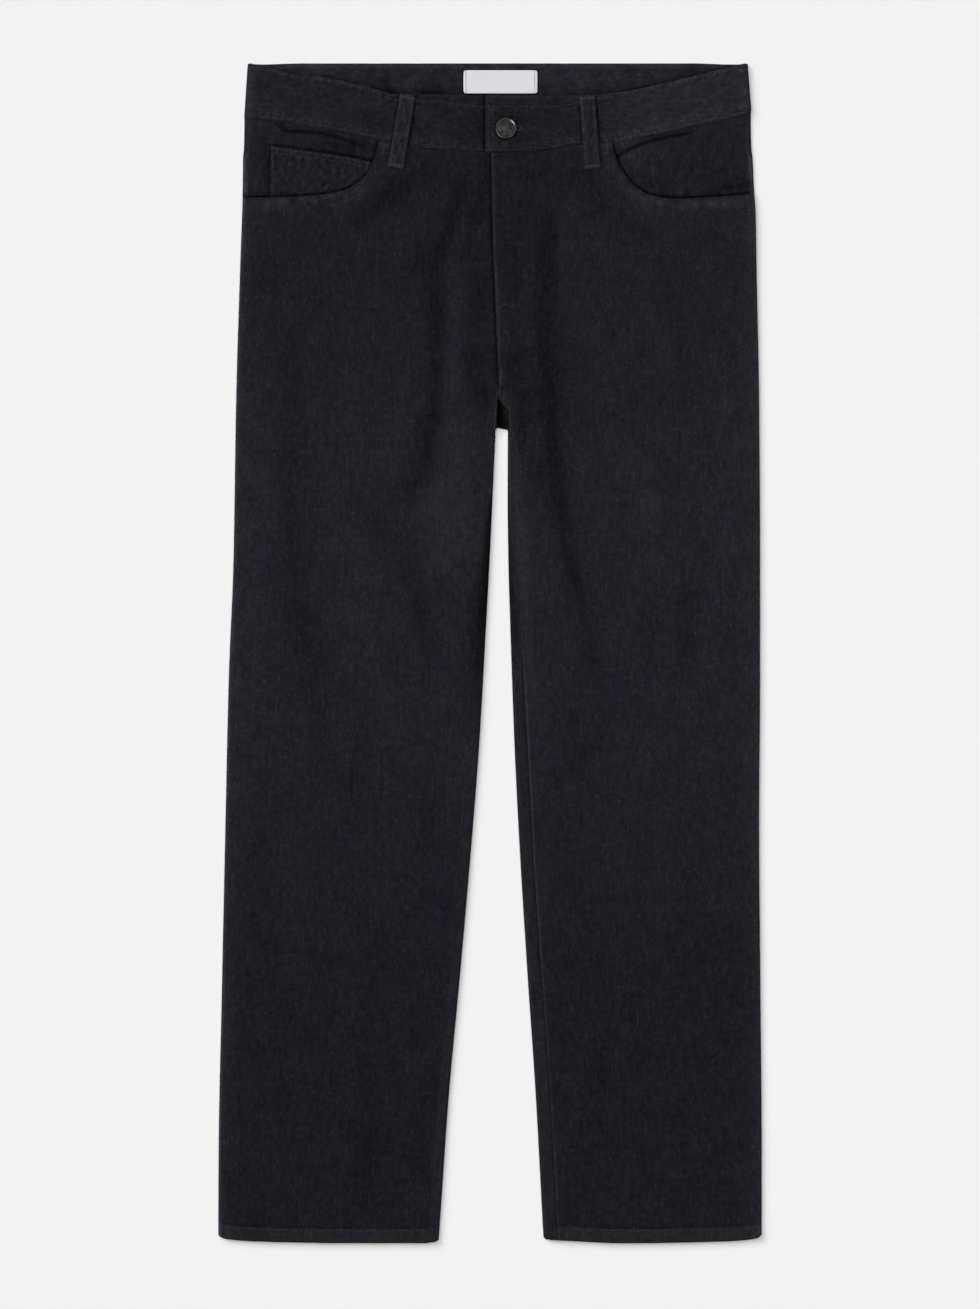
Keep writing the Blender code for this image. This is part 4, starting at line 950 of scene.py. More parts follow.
# Scooped pocket edge from the waistband to the side seam: x, height
SCOOP = {
    "right": ((-95.0, 442.0), (-99.3, 427.4), (-104.5, 415.0), (-112.5, 405.8), (-127.0, 398.0),
              (-153.5, 393.9), (-180.0, 392.2), (-222.0, 392.0)),
    "left": ((104.6, 442.0), (107.9, 427.4), (114.8, 413.7), (124.0, 402.8), (137.0, 394.6),
             (158.0, 391.2), (191.4, 392.4), (238.0, 396.4)),
}
FRONT_CREASES = (
    (-1.15, 7.5, ((54, 428), (53, 385), (50, 340), (49, 290), (51, 240), (54, 190), (59, 140), (68, 90),
                (79, 42), (88, 4), (97, -44), (104, -100))),
    (-0.45, 13.0, ((56, 266), (49, 234), (53, 186), (66, 138))),
    (-0.4, 12.0, ((68, 274), (72, 248), (64, 214))),
    (-0.45, 11.0, ((28, 216), (36, 184), (46, 140), (58, 100))),
    (-1.0, 6.5, ((-20, 418), (-30, 380), (-42, 346), (-58, 314))),
    (-0.5, 6.0, ((-4, 412), (-10, 378), (-22, 344), (-30, 322))),
    (-1.05, 7.0, ((-46, 326), (-44, 284), (-44, 240), (-48, 198), (-56, 158), (-64, 126))),
    (-0.5, 9.0, ((-106, 130), (-84, 98), (-66, 64), (-56, 28), (-52, -16))),
    (-0.65, 8.0, ((-122, 362), (-98, 382), (-70, 404), (-36, 426))),
    (-0.5, 12.0, ((-164, 300), (-168, 225), (-169, 140), (-165, 60), (-157, -20), (-150, -70))),
    (-0.45, 15.0, ((-160, 50), (-154, 0), (-142, -56))),
    (-0.35, 9.0, ((-112, 20), (-104, -16), (-112, -60))), (-0.35, 9.0, ((-60, 46), (-56, 10), (-50, -30))),
    (-0.35, 12.0, ((62, -40), (74, -84), (60, -124))), (-0.4, 12.0, ((-50, 212), (-62, 172), (-82, 132))),
    (-0.45, 9.0, ((-52, 160), (-64, 144), (-80, 132), (-100, 116))),
    (-0.4, 13.0, ((-96, 434), (-100, 410), (-80, 400), (-70, 372))),
    (-0.3, 8.0, ((176, 352), (200, 357), (224, 350))),
    (-0.6, 13.0, ((12, 262), (18, 238), (34, 218), (58, 204))),
    (-0.65, 9.0, ((-20, 266), (-16, 238), (-6, 204))), (-0.85, 6.0, ((-2, 236), (-5, 214), (-3, 188))),
    (-0.5, 8.0, ((14, 356), (18, 332), (12, 306))), (-0.45, 6.0, ((26, 232), (25, 205), (28, 150))),
    (-0.5, 11.0, ((68, 424), (86, 396), (98, 362))), (-0.45, 13.0, ((58, 222), (80, 200), (104, 186))),
    (-0.4, 10.0, ((-12, 335), (-14, 292), (-10, 246))), (-0.35, 15.0, ((-52, 262), (-74, 232), (-98, 196))),
    (-0.5, 12.0, ((-56, 352), (-50, 330), (-52, 292))),
    (-0.35, 13.0, ((96, 226), (128, 220), (160, 226), (196, 222))),
    (-0.45, 9.0, ((172, 74), (168, 30), (164, -40))), (-0.35, 7.0, ((92, 392), (118, 372), (152, 344))),
    (-0.3, 7.0, ((146, 344), (160, 300), (172, 226))),
    (-0.45, 6.0, ((-214, 318), (-196, 314), (-176, 318))), (-0.45, 5.0, ((24, 398), (27, 350), (25, 300))),
    (-0.4, 5.0, ((20, 290), (31, 264), (26, 236))),
    # Ridges
    (0.8, 8.0, ((-24, 342), (-26, 300), (-30, 250), (-36, 200))),
    (1.1, 11.0, ((-26, 214), (-28, 160), (-22, 100), (-18, 60))),
    (1.0, 12.0, ((-44, 152), (-46, 112), (-34, 62))), (0.5, 9.0, ((-70, 262), (-76, 200), (-92, 130))),
    (0.6, 14.0, ((128, 176), (138, 112), (142, 44))), (0.4, 12.0, ((-120, 120), (-110, 40), (-96, -50))),
    (0.5, 9.0, ((204, 250), (206, 130), (202, -10))), (0.4, 9.0, ((-190, 210), (-196, 80), (-198, -50))),
    (0.4, 8.0, ((120, 398), (140, 376), (178, 352))),
    # Finer ones, lower on the legs
    (-0.4, 8.0, ((-100, -40), (-118, -100), (-112, -170))),
    (-0.4, 7.0, ((-70, -95), (-52, -130), (-58, -190))), (-0.4, 8.0, ((108, -40), (90, -82), (64, -106))),
    (-0.3, 9.0, ((120, 130), (144, 60), (132, -20))), (0.4, 12.0, ((106, -130), (116, -200), (108, -290))),
    (0.35, 16.0, ((200, -110), (196, -180), (202, -260))),
    (-0.4, 9.0, ((-146, -34), (-146, -78), (-130, -124))),
    (-0.3, 6.0, ((96, -330), (98, -384), (94, -440))),
    (-0.35, 8.0, ((-110, -330), (-104, -410), (-100, -480))),
    (-0.4, 5.0, ((-60, -370), (-59, -412), (-61, -462))),
    (0.35, 9.0, ((-140, -180), (-128, -250), (-122, -330))),
    (0.5, 9.0, ((44, -160), (46, -230), (50, -305))), (0.5, 10.0, ((147, -140), (148, -220), (143, -285))),
    (0.5, 13.0, ((-172, -150), (-164, -230), (-170, -310))),
    (0.4, 9.0, ((-84, -150), (-80, -200), (-92, -250))),
    (0.4, 9.0, ((-44, -220), (-46, -270), (-50, -310))),
    (0.35, 9.0, ((-26, -70), (-30, -130), (-40, -170))),
    (-0.35, 16.0, ((-234, -452), (-214, -480), (-180, -500))),
    (-0.3, 12.0, ((-96, -400), (-110, -440), (-100, -492))),
) + INNER_RIDGES

band_top_edge = column(BAND_EDGES, 1)
band_bottom_edge = column(BAND_EDGES, 2)
scoop_edge = {side: smooth_curve(SCOOP[side]) for side in SIDES}


def scoop_path(side, count=60):
    """The scooped edge as points from the side seam to the waistband, closer together at the curve."""
    (first, _), (last, _) = SCOOP[side][0], SCOOP[side][-1]
    x = last + (first - last) * (1 - (1 - np.linspace(0, 1, count)) ** 1.7)
    return np.stack((x, scoop_edge[side](x)), axis=1)


def sewn_edge(distance, rows, width, proud=0.35, dip=0.25):
    """A turned edge: proud for its width, pulled in along each row of stitches, round at the brink."""
    return proud * ramp(distance, width + 1.6, width - 0.4) - 0.55 * fade(distance, 0.55) \
        - sum(dip * bell(distance, row, 0.9) for row in rows)


def fly_curve():
    """The stitched J that holds the fly facing: down beside the fly, then round into it."""
    y = np.linspace(FLY_TOP_Y, FLY_TURN_Y, 30)
    straight = np.stack((centre_front(y) + FLY_WIDTH, y), axis=1)
    turn = np.radians(np.linspace(0.0, 84.0, 16))[1:]
    foot = np.stack((centre_front(FLY_TURN_Y) + FLY_WIDTH * np.cos(turn),
                     FLY_TURN_Y - FLY_TURN_DEPTH * np.sin(turn)), axis=1)
    return np.vstack((straight, foot))


SCOOP_ROWS = (2.0, 8.4)
scoop_paths = {side: scoop_path(side) for side in SIDES}


def front_height(x, y, side):
    """Height of a front panel's outside at (x, y): creases, waviness, fly, pocket edge and hem."""
    from_side = np.abs(side_seam[side](y) - x)
    from_inner = np.abs(front_inner(y, side) - x)
    leg = y < CROTCH_Y
    loose = ramp(from_side, 4.0, 16.0) * np.where(leg, ramp(from_inner, 1.0, 12.0), 1.0)
    wavy = 0.16 * ripple(x, y, 30.0, 7) + 0.07 * ripple(x, y, 11.0, 8)
    z = front_top(y) + loose * (crease_height(x, y, FRONT_CREASES) + wavy)
    scoop_distance, _ = from_path(x, y, scoop_paths[side])
    z += ramp(y, *SCOOP_REACH) * sewn_edge(scoop_distance, SCOOP_ROWS, 10.0)
    z += np.where(leg, seam_shows(y, side), 0.0) \
        * (0.3 * bell(from_inner, 1.2, 1.0) - 0.5 * fade(from_inner, 0.5))
    if side == "left":
        stitched, _ = from_path(x, y, fly_curve())
        z += FLY_RAISE * ramp(from_inner, *FLY_REACH) * ramp(y, *FLY_FOOT_REACH) \
            - 0.12 * bell(stitched, 0, 1.1) \
            - np.where(leg, 0.0, 0.6 * fade(from_inner, 0.7) + 0.3 * bell(from_inner, 2.2, 0.8))
    else:
        z -= np.where(leg, 0.0, 0.7 * bell(from_inner, 0, 1.6) * ramp(y, 232.0, 250.0)
                         + 0.3 * fade(from_inner, 0.7))
    return z + hem_relief(y, x, side)


def front_tone(x, y, side):
    """Tone of a front panel: lighter along the scooped edge and the hem, darker low on the leg.
    Painted light lies along its folded side edge, below the waistband and on the ridges, and painted
    shade in the creases, along the inner edge and in the groove of the fly."""
    from_side = np.abs(side_seam[side](y) - x)
    from_inner = np.abs(front_inner(y, side) - x)
    leg = y < CROTCH_Y
    tone = 0.025 - 0.065 * ramp(y, 180.0, 330.0) - 0.12 * ramp(y, -20.0, -300.0) \
        + (0.03 if side == "left" else 0.0) * ramp(y, 150.0, 330.0) \
        - 0.05 * ramp(np.abs(x - 20.0), 52.0, 20.0) * ramp(y, 190.0, 250.0) \
        - 0.04 * ramp(y, 385.0, 412.0)
    # Painted light just below the waistband's edge
    below_band = np.maximum(band_bottom_edge(x) - y, 0.0)
    tone += (0.30 - 0.22 * bell(x, -40.0, 24.0)) * fade(below_band, 1.3)
    # Painted light along the folded side edge
    tone += 0.12 * fade(from_side, 6.0) + 0.24 * bell(from_side, 0, 2.2)
    tone += (0.05 + 0.04 * ramp(y, -80.0, -160.0)) * bell(from_side, 0, 14.0)
    if side == "right":
        tone += 0.12 * ramp(y, -230.0, -290.0) * bell(from_side, 1.6, 1.0)
    tone += 0.14 * ramp(y, 336.0, 350.0) * bell(from_side, 1.8, 1.2)
    # Painted shade in the troughs and painted light on the ridges
    creases = crease_height(x, y, FRONT_CREASES)
    tone += 0.17 * np.where(creases < 0, creases, 0.6 * np.minimum(creases, 1.0))
    scoop_distance, along = from_path(x, y, scoop_paths[side])
    pulled = np.sin(along * 190.0 + 3.0 * np.sin(along * 31.0)) * np.sin(along * 83.0 + 1.0)
    width = 8.0 if side == "right" else 5.0
    edge = ramp(y, 360.0, 384.0) * bell(scoop_distance, 5.5, width)
    tone += edge * (0.14 + 0.20 * pulled)
    up = y - HEM_Y - hem_lift(x, side)
    tone += 0.165 * ramp(up, HEM_DEPTH + 1.0, HEM_DEPTH - 1.0) - 0.10 * bell(up - HEM_DEPTH, 1.0, 1.0)
    # A lighter line along the inseam, and painted shade where the thigh turns down to the inner edge
    tone += np.where(leg, (0.02 + 0.27 * seam_shows(y, side)) * bell(from_inner, 1.0, 1.1)
                           - inner_shade(x, y, side), 0.0)
    # Painted shade in the groove under the fly's lap; on the lap, a lighter line along its edge and painted
    # shade along the stitched J
    if side == "right":
        tone -= np.where(leg, 0.0, 0.30 * bell(from_inner, 0, 1.0)
                               + 0.05 * fade(from_inner, 8.0))
    else:
        tone += np.where(leg, 0.0, 0.18 * bell(from_inner, 1.7, 1.3))
        stitched, _ = from_path(x, y, fly_curve())
        tone -= 0.03 * bell(stitched, 0, 1.6)
    return tone


FRONT_TOP_DEPTHS = stepped((0.0, 0.7), (12.0, 1.7), (40.0, 3.0), (100.0, 4.0)) / 100.0
FRONT_ROWS = np.concatenate((
    stepped((FRONT_LEVEL_Y, 4.0), (242.0, 3.5), (233.0, 1.2), (220.0, 1.2), (200.0, 3.0),
            (192.0, 2.0)), LEG_ROWS))
FRONT_ACROSS = stepped((0.0, 1.2), (12.0, 3.6), (195.0, 4.2), (208.0, 1.6), (213.0, 0.6))[1:] / 213.0


def front_panel(side):
    """Outside of a front panel: a quarter fold at the side seam, then across to the inner edge. Its top
    rows lead from level y = FRONT_LEVEL_Y to the scooped edge and the waistband."""
    sign = SIDES[side]
    shares = FRONT_ACROSS.copy()
    shares[np.argmin(np.abs(shares - CORNER_SHARE))] = CORNER_SHARE

    def level_rows(level):
        outer = side_seam[side](level)
        fold_x = side_fold(outer, front_top(level) / 2, sign, SIDE_SEAM_DIP)
        inner = front_inner(level, side) + sign * SEAM_GAP / 2
        return fold_x, fold_x[:, -1:] + (inner - fold_x[:, -1:]) * shares

    side_y = scoop_edge[side](sign * PAST_ALL)
    top_depth = FRONT_TOP_DEPTHS[:-1, None]
    fold_y = side_y + (FRONT_LEVEL_Y - side_y) * top_depth
    fold_x = level_rows(fold_y)[0]
    path = scoop_paths[side]
    path = path[sign * path[:, 0] < sign * fold_x[0, -1]]
    path = np.vstack(([(fold_x[0, -1], side_y)], path))
    run = run_along(path)
    on_scoop = np.clip(shares / CORNER_SHARE, 0.0, 1.0) * run[-1]
    on_band = np.clip((shares - CORNER_SHARE) / (1 - CORNER_SHARE), 0.0, 1.0)
    corner_x = SCOOP[side][0][0]
    inner_top = centre_front(FLY_TOP_Y) + sign * SEAM_GAP / 2
    band_x = corner_x + (inner_top - corner_x) * on_band
    top_x = np.where(shares <= CORNER_SHARE, np.interp(on_scoop, run, path[:, 0]), band_x)
    top_y = np.where(shares < CORNER_SHARE, np.interp(on_scoop, run, path[:, 1]),
                     band_bottom_edge(band_x) - FRONT_BAND_GAP)
    upper_y = top_y + (FRONT_LEVEL_Y - top_y) * top_depth
    upper_x = level_rows(upper_y.mean(axis=1, keepdims=True))[1]
    upper_x += (top_x - upper_x) * (1 - top_depth) ** 1.5
    lower_fold_x, lower_x = level_rows(FRONT_ROWS[:, None])
    x = np.vstack((np.hstack((fold_x, upper_x)), np.hstack((lower_fold_x, lower_x))))
    flat_y = np.vstack((np.hstack((fold_y + 0 * fold_x, upper_y)),
                        FRONT_ROWS[:, None] + 0 * np.hstack((lower_fold_x, lower_x))))
    hem_weight = np.clip((flat_y - HEM_BEND_Y) / (HEM_Y - HEM_BEND_Y), 0.0, 1.0)
    y = flat_y + hem_weight * hem_lift(x, side)
    z = front_height(x, y, side)
    folds = len(FOLD_ANGLES)
    radius = front_top(y[:, :folds]) / 2
    z[:, :folds] = radius * (1 + np.sin(FOLD_ANGLES)) + (z[:, :folds] - 2 * radius) * np.sin(FOLD_ANGLES)
    grain_x = x.copy()
    grain_x[:, :folds] = x[:, folds - 1:folds] + sign * radius * (math.pi / 2 - FOLD_ANGLES)
    return np.dstack((x, y, z)), np.dstack((grain_x, y)), front_tone(x, y, side)


for side, sign in SIDES.items():
    points, grain, tone = front_panel(side)
    scoop_distance, _ = from_path(points[..., 0], points[..., 1], scoop_paths[side])
    wall = DENIM + 0.35 * ramp(points[..., 1], *SCOOP_REACH) * ramp(scoop_distance, 11.6, 9.6)
    panel = shell("leg_front_" + side, points, wall, grain + (700.0, 0.0), tone, ink_denim, flip=sign < 0)
    stands_for(panel, "front_" + side)
    rows = [hem_row(side_seam[side](HEM_Y) - sign * 4.0, inseam[side](HEM_Y) + sign * 2.0, side)]
    rows += [beside(scoop_paths[side], -sign * row)[3:-1] for row in SCOOP_ROWS]
    rows += [along_y(side_seam[side], 386.0, 344.0, -sign * row) for row in (4.5, 6.5)]
    rows += bar_tack(SCOOP[side][0][0] - sign * 4.0, 434.0, 9.0, 84.0)
    if side == "left":
        rows += [along_y(centre_front, 431.0, 230.0, 2.4)]
        curve = stitches("stitching_fly_curve", [fly_curve()], panel, charcoal_thread, thick=0.24, seed=44)
        rows += bar_tack(centre_front(297.0) + 6.0, 299.0, 8.0, 30.0)
        rows += bar_tack(centre_front(240.0) + 3.0, 240.0, 8.0, 90.0)
    sewn = stitches("stitching_front_" + side, rows, panel, charcoal_thread, seed=35)

# ---------------------------------------------------------------- Pocket facings
# Cloth of the same denim behind each pocket opening. It is sewn into the waistband and the side seam,
# runs on beneath the scooped edge, and folds softly where the pocket sags under the band.
FACING_WALL = 1.0
FACING_BEYOND_SCOOP = 8.0
FACING_INK_TONES = (
    (0.0, (3, 3, 4)), (0.25, (15, 14.5, 17.5)), (0.5, (26.5, 25.7, 30.5)), (0.75, (38, 37, 43)),
    (1.0, (56, 55, 63)),
)
FACING_RAISE = 1.3         # how far the facing swells above its fold, up to the waistband
# The fold below the waistband: x, height, how soft it is
FACING_FOLD = {
    "right": ((-205.0, 462.0, 7.0), (-190.0, 459.0, 6.0), (-183.6, 456.0, 1.2), (-173.0, 450.0, 0.7),
              (-152.0, 449.0, 0.7), (-134.0, 445.5, 0.7), (-116.0, 439.5, 1.2), (-98.0, 434.0, 3.0)),
    "left": ((96.0, 422.0, 0.8), (109.6, 428.0, 0.7), (129.4, 438.6, 0.7), (152.6, 444.6, 0.7),
             (171.0, 448.0, 1.0), (182.0, 450.0, 5.0), (220.0, 456.0, 8.0)),
}
FACING_DIPS = {
    "right": ((-0.3, 3.0, ((-196, 452), (-193, 430), (-193, 402))),
              (-0.3, 5.0, ((-150, 440), (-128, 436), (-102, 430)))),
    "left": ((-0.5, 2.6, ((184, 396), (200, 400), (223, 404), (240, 406))),
             (-0.25, 6.0, ((118, 420), (132, 408), (156, 400)))),
}
FACING_LEVELS = stepped((0.0, 0.012), (0.3, 0.02), (1.0, 0.03))[:, None]
FACING_ACROSS = stepped((0.0, 0.012), (1.0, 0.018))[1:]

# Where shade is painted on the facing along the coin pocket's edges: x, height
COIN_EDGE_SHADE_PATH = ((-190.0, 396.0), (-189.5, 437.8), (-162.0, 434.2), (-130.3, 429.9), (-100.0, 423.6))

facing_denim = denim_cloth("facing_denim", FACING_INK_TONES)

for side, sign in SIDES.items():
    top_y, foot_y = band_bottom_edge(sign * PAST_ALL), scoop_edge[side](sign * PAST_ALL)
    level = top_y + (foot_y - top_y) * FACING_LEVELS
    outer = side_seam[side](level)
    radius = FACING_TOP / 2
    fold_x = side_fold(outer, radius, sign)
    inner = SCOOP[side][0][0] - sign * (FACING_BEYOND_SCOOP + 1.0)
    across_x = fold_x[:, -1:] + (inner - fold_x[:, -1:]) * FACING_ACROSS
    x = np.hstack((fold_x, across_x))
    top_y = np.minimum(band_bottom_edge(x), back_band_bottom(x)) - SEAM_GAP
    hidden = ramp(np.abs(outer - x), 4.0, 9.0) * FACING_BEYOND_SCOOP
    bottom_y = scoop_edge[side](x + sign * FACING_BEYOND_SCOOP) + SEAM_GAP - hidden
    y = top_y + (np.minimum(bottom_y, top_y - 3.0) - top_y) * FACING_LEVELS
    loose = ramp(np.abs(outer - x), 3.0, 10.0)
    dips = crease_height(x, y, FACING_DIPS[side])
    softness = column(FACING_FOLD[side], 2)(x)
    above_fold = y - column(FACING_FOLD[side], 1)(x)
    z = np.hstack((radius * (1 + np.sin(FOLD_ANGLES)) + 0 * level, FACING_TOP + 0 * across_x))
    z += loose * (FACING_RAISE * ramp(above_fold, -softness, softness) + dips
                     + 0.10 * ripple(x, y, 14.0, 51))
    # Painted shade in the dips and painted light along the side fold
    tone = 0.45 * dips + 0.14 * fade(np.abs(outer - x), 2.0)
    # Painted shade along the fold below the waistband
    tone -= 0.42 * ramp(softness, 2.5, 0.8) * bell(above_fold, -0.7, 1.7)
    tone -= 0.09 * ramp(softness, 6.0, 2.0) * bell(above_fold, 3.0, 4.0)
    # Painted shade along the scooped edge that lies over the facing
    scoop_distance, _ = from_path(x, y, scoop_paths[side])
    tone -= 0.55 * bell(scoop_distance, 0, 1.6) + 0.08 * fade(scoop_distance, 5.0)
    # Painted light just below the waistband's edge, and a faint mottle
    below_band = np.maximum(top_y - y, 0.0)
    tone += 0.03 * ripple(x, y, 9.0, 53, 1.0) - 0.03 + 0.26 * fade(below_band, 1.3) \
        + 0.07 * bell(below_band, 0, 8.0)
    # Painted light along the side seam's fold
    seam_line = 2.0 + 1.8 * ramp(y, 424.0, 434.0)
    tone += (0.14 + 0.28 * ramp(y, 434.0, 424.0)) * bell(np.abs(outer - x), seam_line, 1.9)
    if side == "left":
        tone += 0.16 * ramp(x, 156.0, 118.0) + 0.02 - 0.06 * bell(x, 188.0, 22.0) * bell(y, 414.0, 9.0)
    else:
        # Painted shade along the coin pocket's edges
        from_coin, along = from_path(x, y, COIN_EDGE_SHADE_PATH)
        tone += 0.06 * ramp(x, -186.0, -200.0) \
            - (0.3 + 0.2 * ramp(along, 0.45, 0.9)) * bell(from_coin, 0, 1.1)
    facing = shell("front_pocket_facing_" + side, np.dstack((x, y, z)), FACING_WALL,
                   np.dstack((x, y + 90.0)), tone, facing_denim, flip=sign < 0)
    stands_for(facing, "pocket_facing_" + side)
    rows = [along_y(side_seam[side], 452.0, 402.0, -sign * 2.6)]
    sewn = stitches("stitching_facing_" + side, rows, facing, charcoal_thread, seed=36)

# ---------------------------------------------------------------- Coin pocket
# A small patch on the right facing. Its mouth is turned and stitched twice, its side edge is turned and
# stitched, and its far corner runs under the scooped edge, where a bar of close stitches holds it.
COIN_TOP = 5.2
COIN_WALL = 1.0
COIN_LEFT_X = -188.5
COIN_TOP_EDGE = ((-188.5, 436.6), (-162.0, 432.8), (-130.3, 428.5), (-98.0, 422.0))
COIN_ROWS = (1.8, 5.6)
COIN_SIDE_ROW = 1.8
coin_top_edge = smooth_curve(COIN_TOP_EDGE)

depth_share = stepped((0.0, 0.02), (0.3, 0.04), (1.0, 0.06))[:, None]
x = COIN_LEFT_X + stepped((0.0, 0.7), (10.0, 1.8), (90.0, 2.0))[None, :] + 0 * depth_share
top_y = coin_top_edge(x)
bottom_y = scoop_edge["right"](x - 5.0) - 4.0
y = top_y + (np.minimum(bottom_y, top_y - 2.0) - top_y) * depth_share
from_mouth, from_left = top_y - y, x - COIN_LEFT_X
z = COIN_TOP + sewn_edge(from_mouth, COIN_ROWS, 7.0, proud=0.2, dip=0.25) \
    + sewn_edge(from_left, (COIN_SIDE_ROW,), 3.4, proud=0.2, dip=0.2) - 0.3 + 0.1 * ripple(x, y, 9.0, 52)
scoop_distance, _ = from_path(x, y, scoop_paths["right"])
# Lighter at its mouth and side edge, with painted shade along the scooped edge that lies over it
tone = 0.10 * fade(from_mouth, 5.0) + 0.10 * fade(from_left, 1.4) - 0.005 \
    - 0.5 * bell(scoop_distance, 0, 1.6) - 0.06 * fade(scoop_distance, 5.0) \
    + 0.07 * ripple(x, y, 7.0, 54, 1.0) + 0.08 * bell(from_mouth, 4.0, 4.0) * ripple(x, y, 4.0, 55, 3.0)
coin = shell("coin_pocket_patch", np.dstack((x, y, z)), COIN_WALL, np.dstack((x + 60.0, y + 30.0)),
             tone, facing_denim, flip=True)
stands_for(coin, "coin_pocket")
x = np.linspace(COIN_LEFT_X + 1.0, -99.0, 40)
mouth = np.stack((x, coin_top_edge(x)), axis=1)
rows = [mouth - (0.0, row) for row in COIN_ROWS]
rows += [np.array([(COIN_LEFT_X + COIN_SIDE_ROW, end) for end in (435.0, 396.0)])]
rows += bar_tack(-105.5, 418.5, 8.0, 82.0)
sewn = stitches("stitching_coin_pocket", rows, coin, charcoal_thread, seed=37)

# ---------------------------------------------------------------- Zip
# A closed metal zip on woven tape, sewn beneath the fly's lap and hidden by it. Its slider is at the
# top, under the button.
ZIP_WALL = 0.6
ZIP_BOTTOM = 3.1
ZIP_EDGES = (6.0, 24.0)
ZIP_ENDS = (428.0, 262.0)
TOOTH = (2.2, 0.7, 0.4)
TOOTH_PITCH = 1.5
SLIDER = (5.2, 8.0, 0.44)
SLIDER_Y = 420.0           # height of its lower end
TAPE_TONES = ((0.0, (20, 20, 23)), (1.0, (33, 33, 38)))
METAL_TONES = ((0.0, (26, 25.2, 24.6)), (0.5, (62, 60.2, 59)), (1.0, (88, 85.5, 83)))

zip_tape, tree, shader = new_material("zip_tape", {"Roughness": 0.85})
place = place_on_cloth(tree)
ribs = add_node(tree, "ShaderNodeTexWave", {"Vector": place, "Scale": 0.4 / MM, "Distortion": 0.6})
tree.links.new(colour_ramp(tree, ribs.outputs["Fac"], TAPE_TONES), shader.inputs["Base Color"])
add_bump(tree, shader, ribs.outputs["Fac"], 0.1)

# Plated metal, dulled unevenly, with fine marks of wear
gunmetal, tree, shader = new_material("gunmetal", {"Metallic": 1.0})
place = add_node(tree, "ShaderNodeTexCoord").outputs["Object"]
cloud, marks = (add_node(tree, "ShaderNodeTexNoise", {
    "Vector": place, "Scale": scale / MM, "Detail": detail}).outputs[0]
    for scale, detail in ((0.25, 6.0), (1.6, 3.0)))
mixed = calculate(tree, "MULTIPLY_ADD", marks, 0.35, cloud)
mixed = calculate(tree, "ADD", mixed, given_tone(tree))
spread = add_node(tree, "ShaderNodeMapRange", {"Value": mixed, "From Min": 0.4, "From Max": 1.0})
tree.links.new(colour_ramp(tree, spread.outputs[0], METAL_TONES), shader.inputs["Base Color"])
dull = add_node(tree, "ShaderNodeMapRange", {"Value": marks, "To Min": 0.22, "To Max": 0.42})
tree.links.new(dull.outputs[0], shader.inputs["Roughness"])
add_bump(tree, shader, marks, 0.03)

y = np.linspace(*ZIP_ENDS, 60)[:, None]
x = centre_front(y) + np.linspace(*ZIP_EDGES, 9)
points = np.dstack((x, y + 0 * x, ZIP_BOTTOM + ZIP_WALL + 0 * x))
tape = shell("zip_tapes", points, ZIP_WALL, points[..., :2], 0.0, zip_tape, flip=True, bulge=0.05)
stands_for(tape, "zip")
BOX = np.array([(i, j, k) for i in (0, 1) for j in (0, 1) for k in (0, 1)], dtype=float)
BOX_FACES = np.array(((0, 1, 3, 2), (4, 6, 7, 5), (0, 4, 5, 1), (2, 3, 7, 6), (0, 2, 6, 4), (1, 5, 7, 3)))
boxes = []
zip_middle = sum(ZIP_EDGES) / 2
for i, height in enumerate(np.arange(ZIP_ENDS[0] - 9.0, ZIP_ENDS[1] + 2.0, -TOOTH_PITCH / 2)):
    corner = (centre_front(height) + zip_middle - (1.9 if i % 2 else 0.3), height, ZIP_BOTTOM + ZIP_WALL)
    boxes.append(BOX * TOOTH + corner)
slider_x = centre_front(SLIDER_Y + SLIDER[1] / 2) + zip_middle - SLIDER[0] / 2
boxes.append(BOX * SLIDER + (slider_x, SLIDER_Y, ZIP_BOTTOM + ZIP_WALL - 0.05))
faces = (np.arange(len(boxes)) * 8)[:, None, None] + BOX_FACES
teeth = mesh_object("zip_teeth", np.concatenate(boxes), faces.reshape(-1, 4).tolist(), gunmetal,
                    smooth=False)
bevel = teeth.modifiers.new("soft_corners", "BEVEL")
bevel.width = 0.12 * MM
bevel.segments = 1
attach(teeth, "root")

# ---------------------------------------------------------------- Waistband
# One folded strip of the same denim. From its lapped end at centre front it runs round the left fold,
# across the back and round the right fold, and its other end lies beneath the lap. It is stitched along
# both edges and twice across the lap, and a little fuller between, with slant puckers at the stitches.
BAND_WALL = 2.6
BAND_TOP = 8.0
BAND_UNDER_TOP = 7.1
BAND_OVER_TOP = 10.0
LOOP_WIDTH = 13.4
LOOP_WALL = 1.4
BACK_LOOP_WALL = 1.1
LOOP_ROWS = (-4.4, 4.4)
LOOP_BARS = (0.035, 0.955)    # places of its bars of close stitches, as shares of its length
LoopPlace = namedtuple("LoopPlace", "top_x top_y bottom_x bottom_y")
FRONT_LOOPS = {
    "belt_loop_front_right": LoopPlace(-70.5, 480.4, -81.0, 417.0),
    "belt_loop_front_left": LoopPlace(83.6, 479.6, 88.6, 416.4),
}
BACK_LOOPS = {"belt_loop_back_" + name: LoopPlace(x, 506.0, x, 444.0)
              for name, x in (("right", -128.0), ("centre", 7.5), ("left", 143.0))}
BACK_TOP_Y = 506.7
FOLD_LEAN = 3.1            # how far the band's top leans in round a side fold
LAP_END_X = -3.9
UNDER_END_X = 34.8
LAP_REACH = (70.0, 42.0)
UNDER_REACH = (-50.0, -12.0)
BAND_FOLD_X = {"left": 224.7, "right": -211.4}
BUTTON_PLACE = (13.8, 451.5, 10.3)
FAR = 99.0                 # stands for the distance where there is nothing to be near
BAND_TOP_ROW = 5.0
BAND_BOTTOM_ROW = 2.6
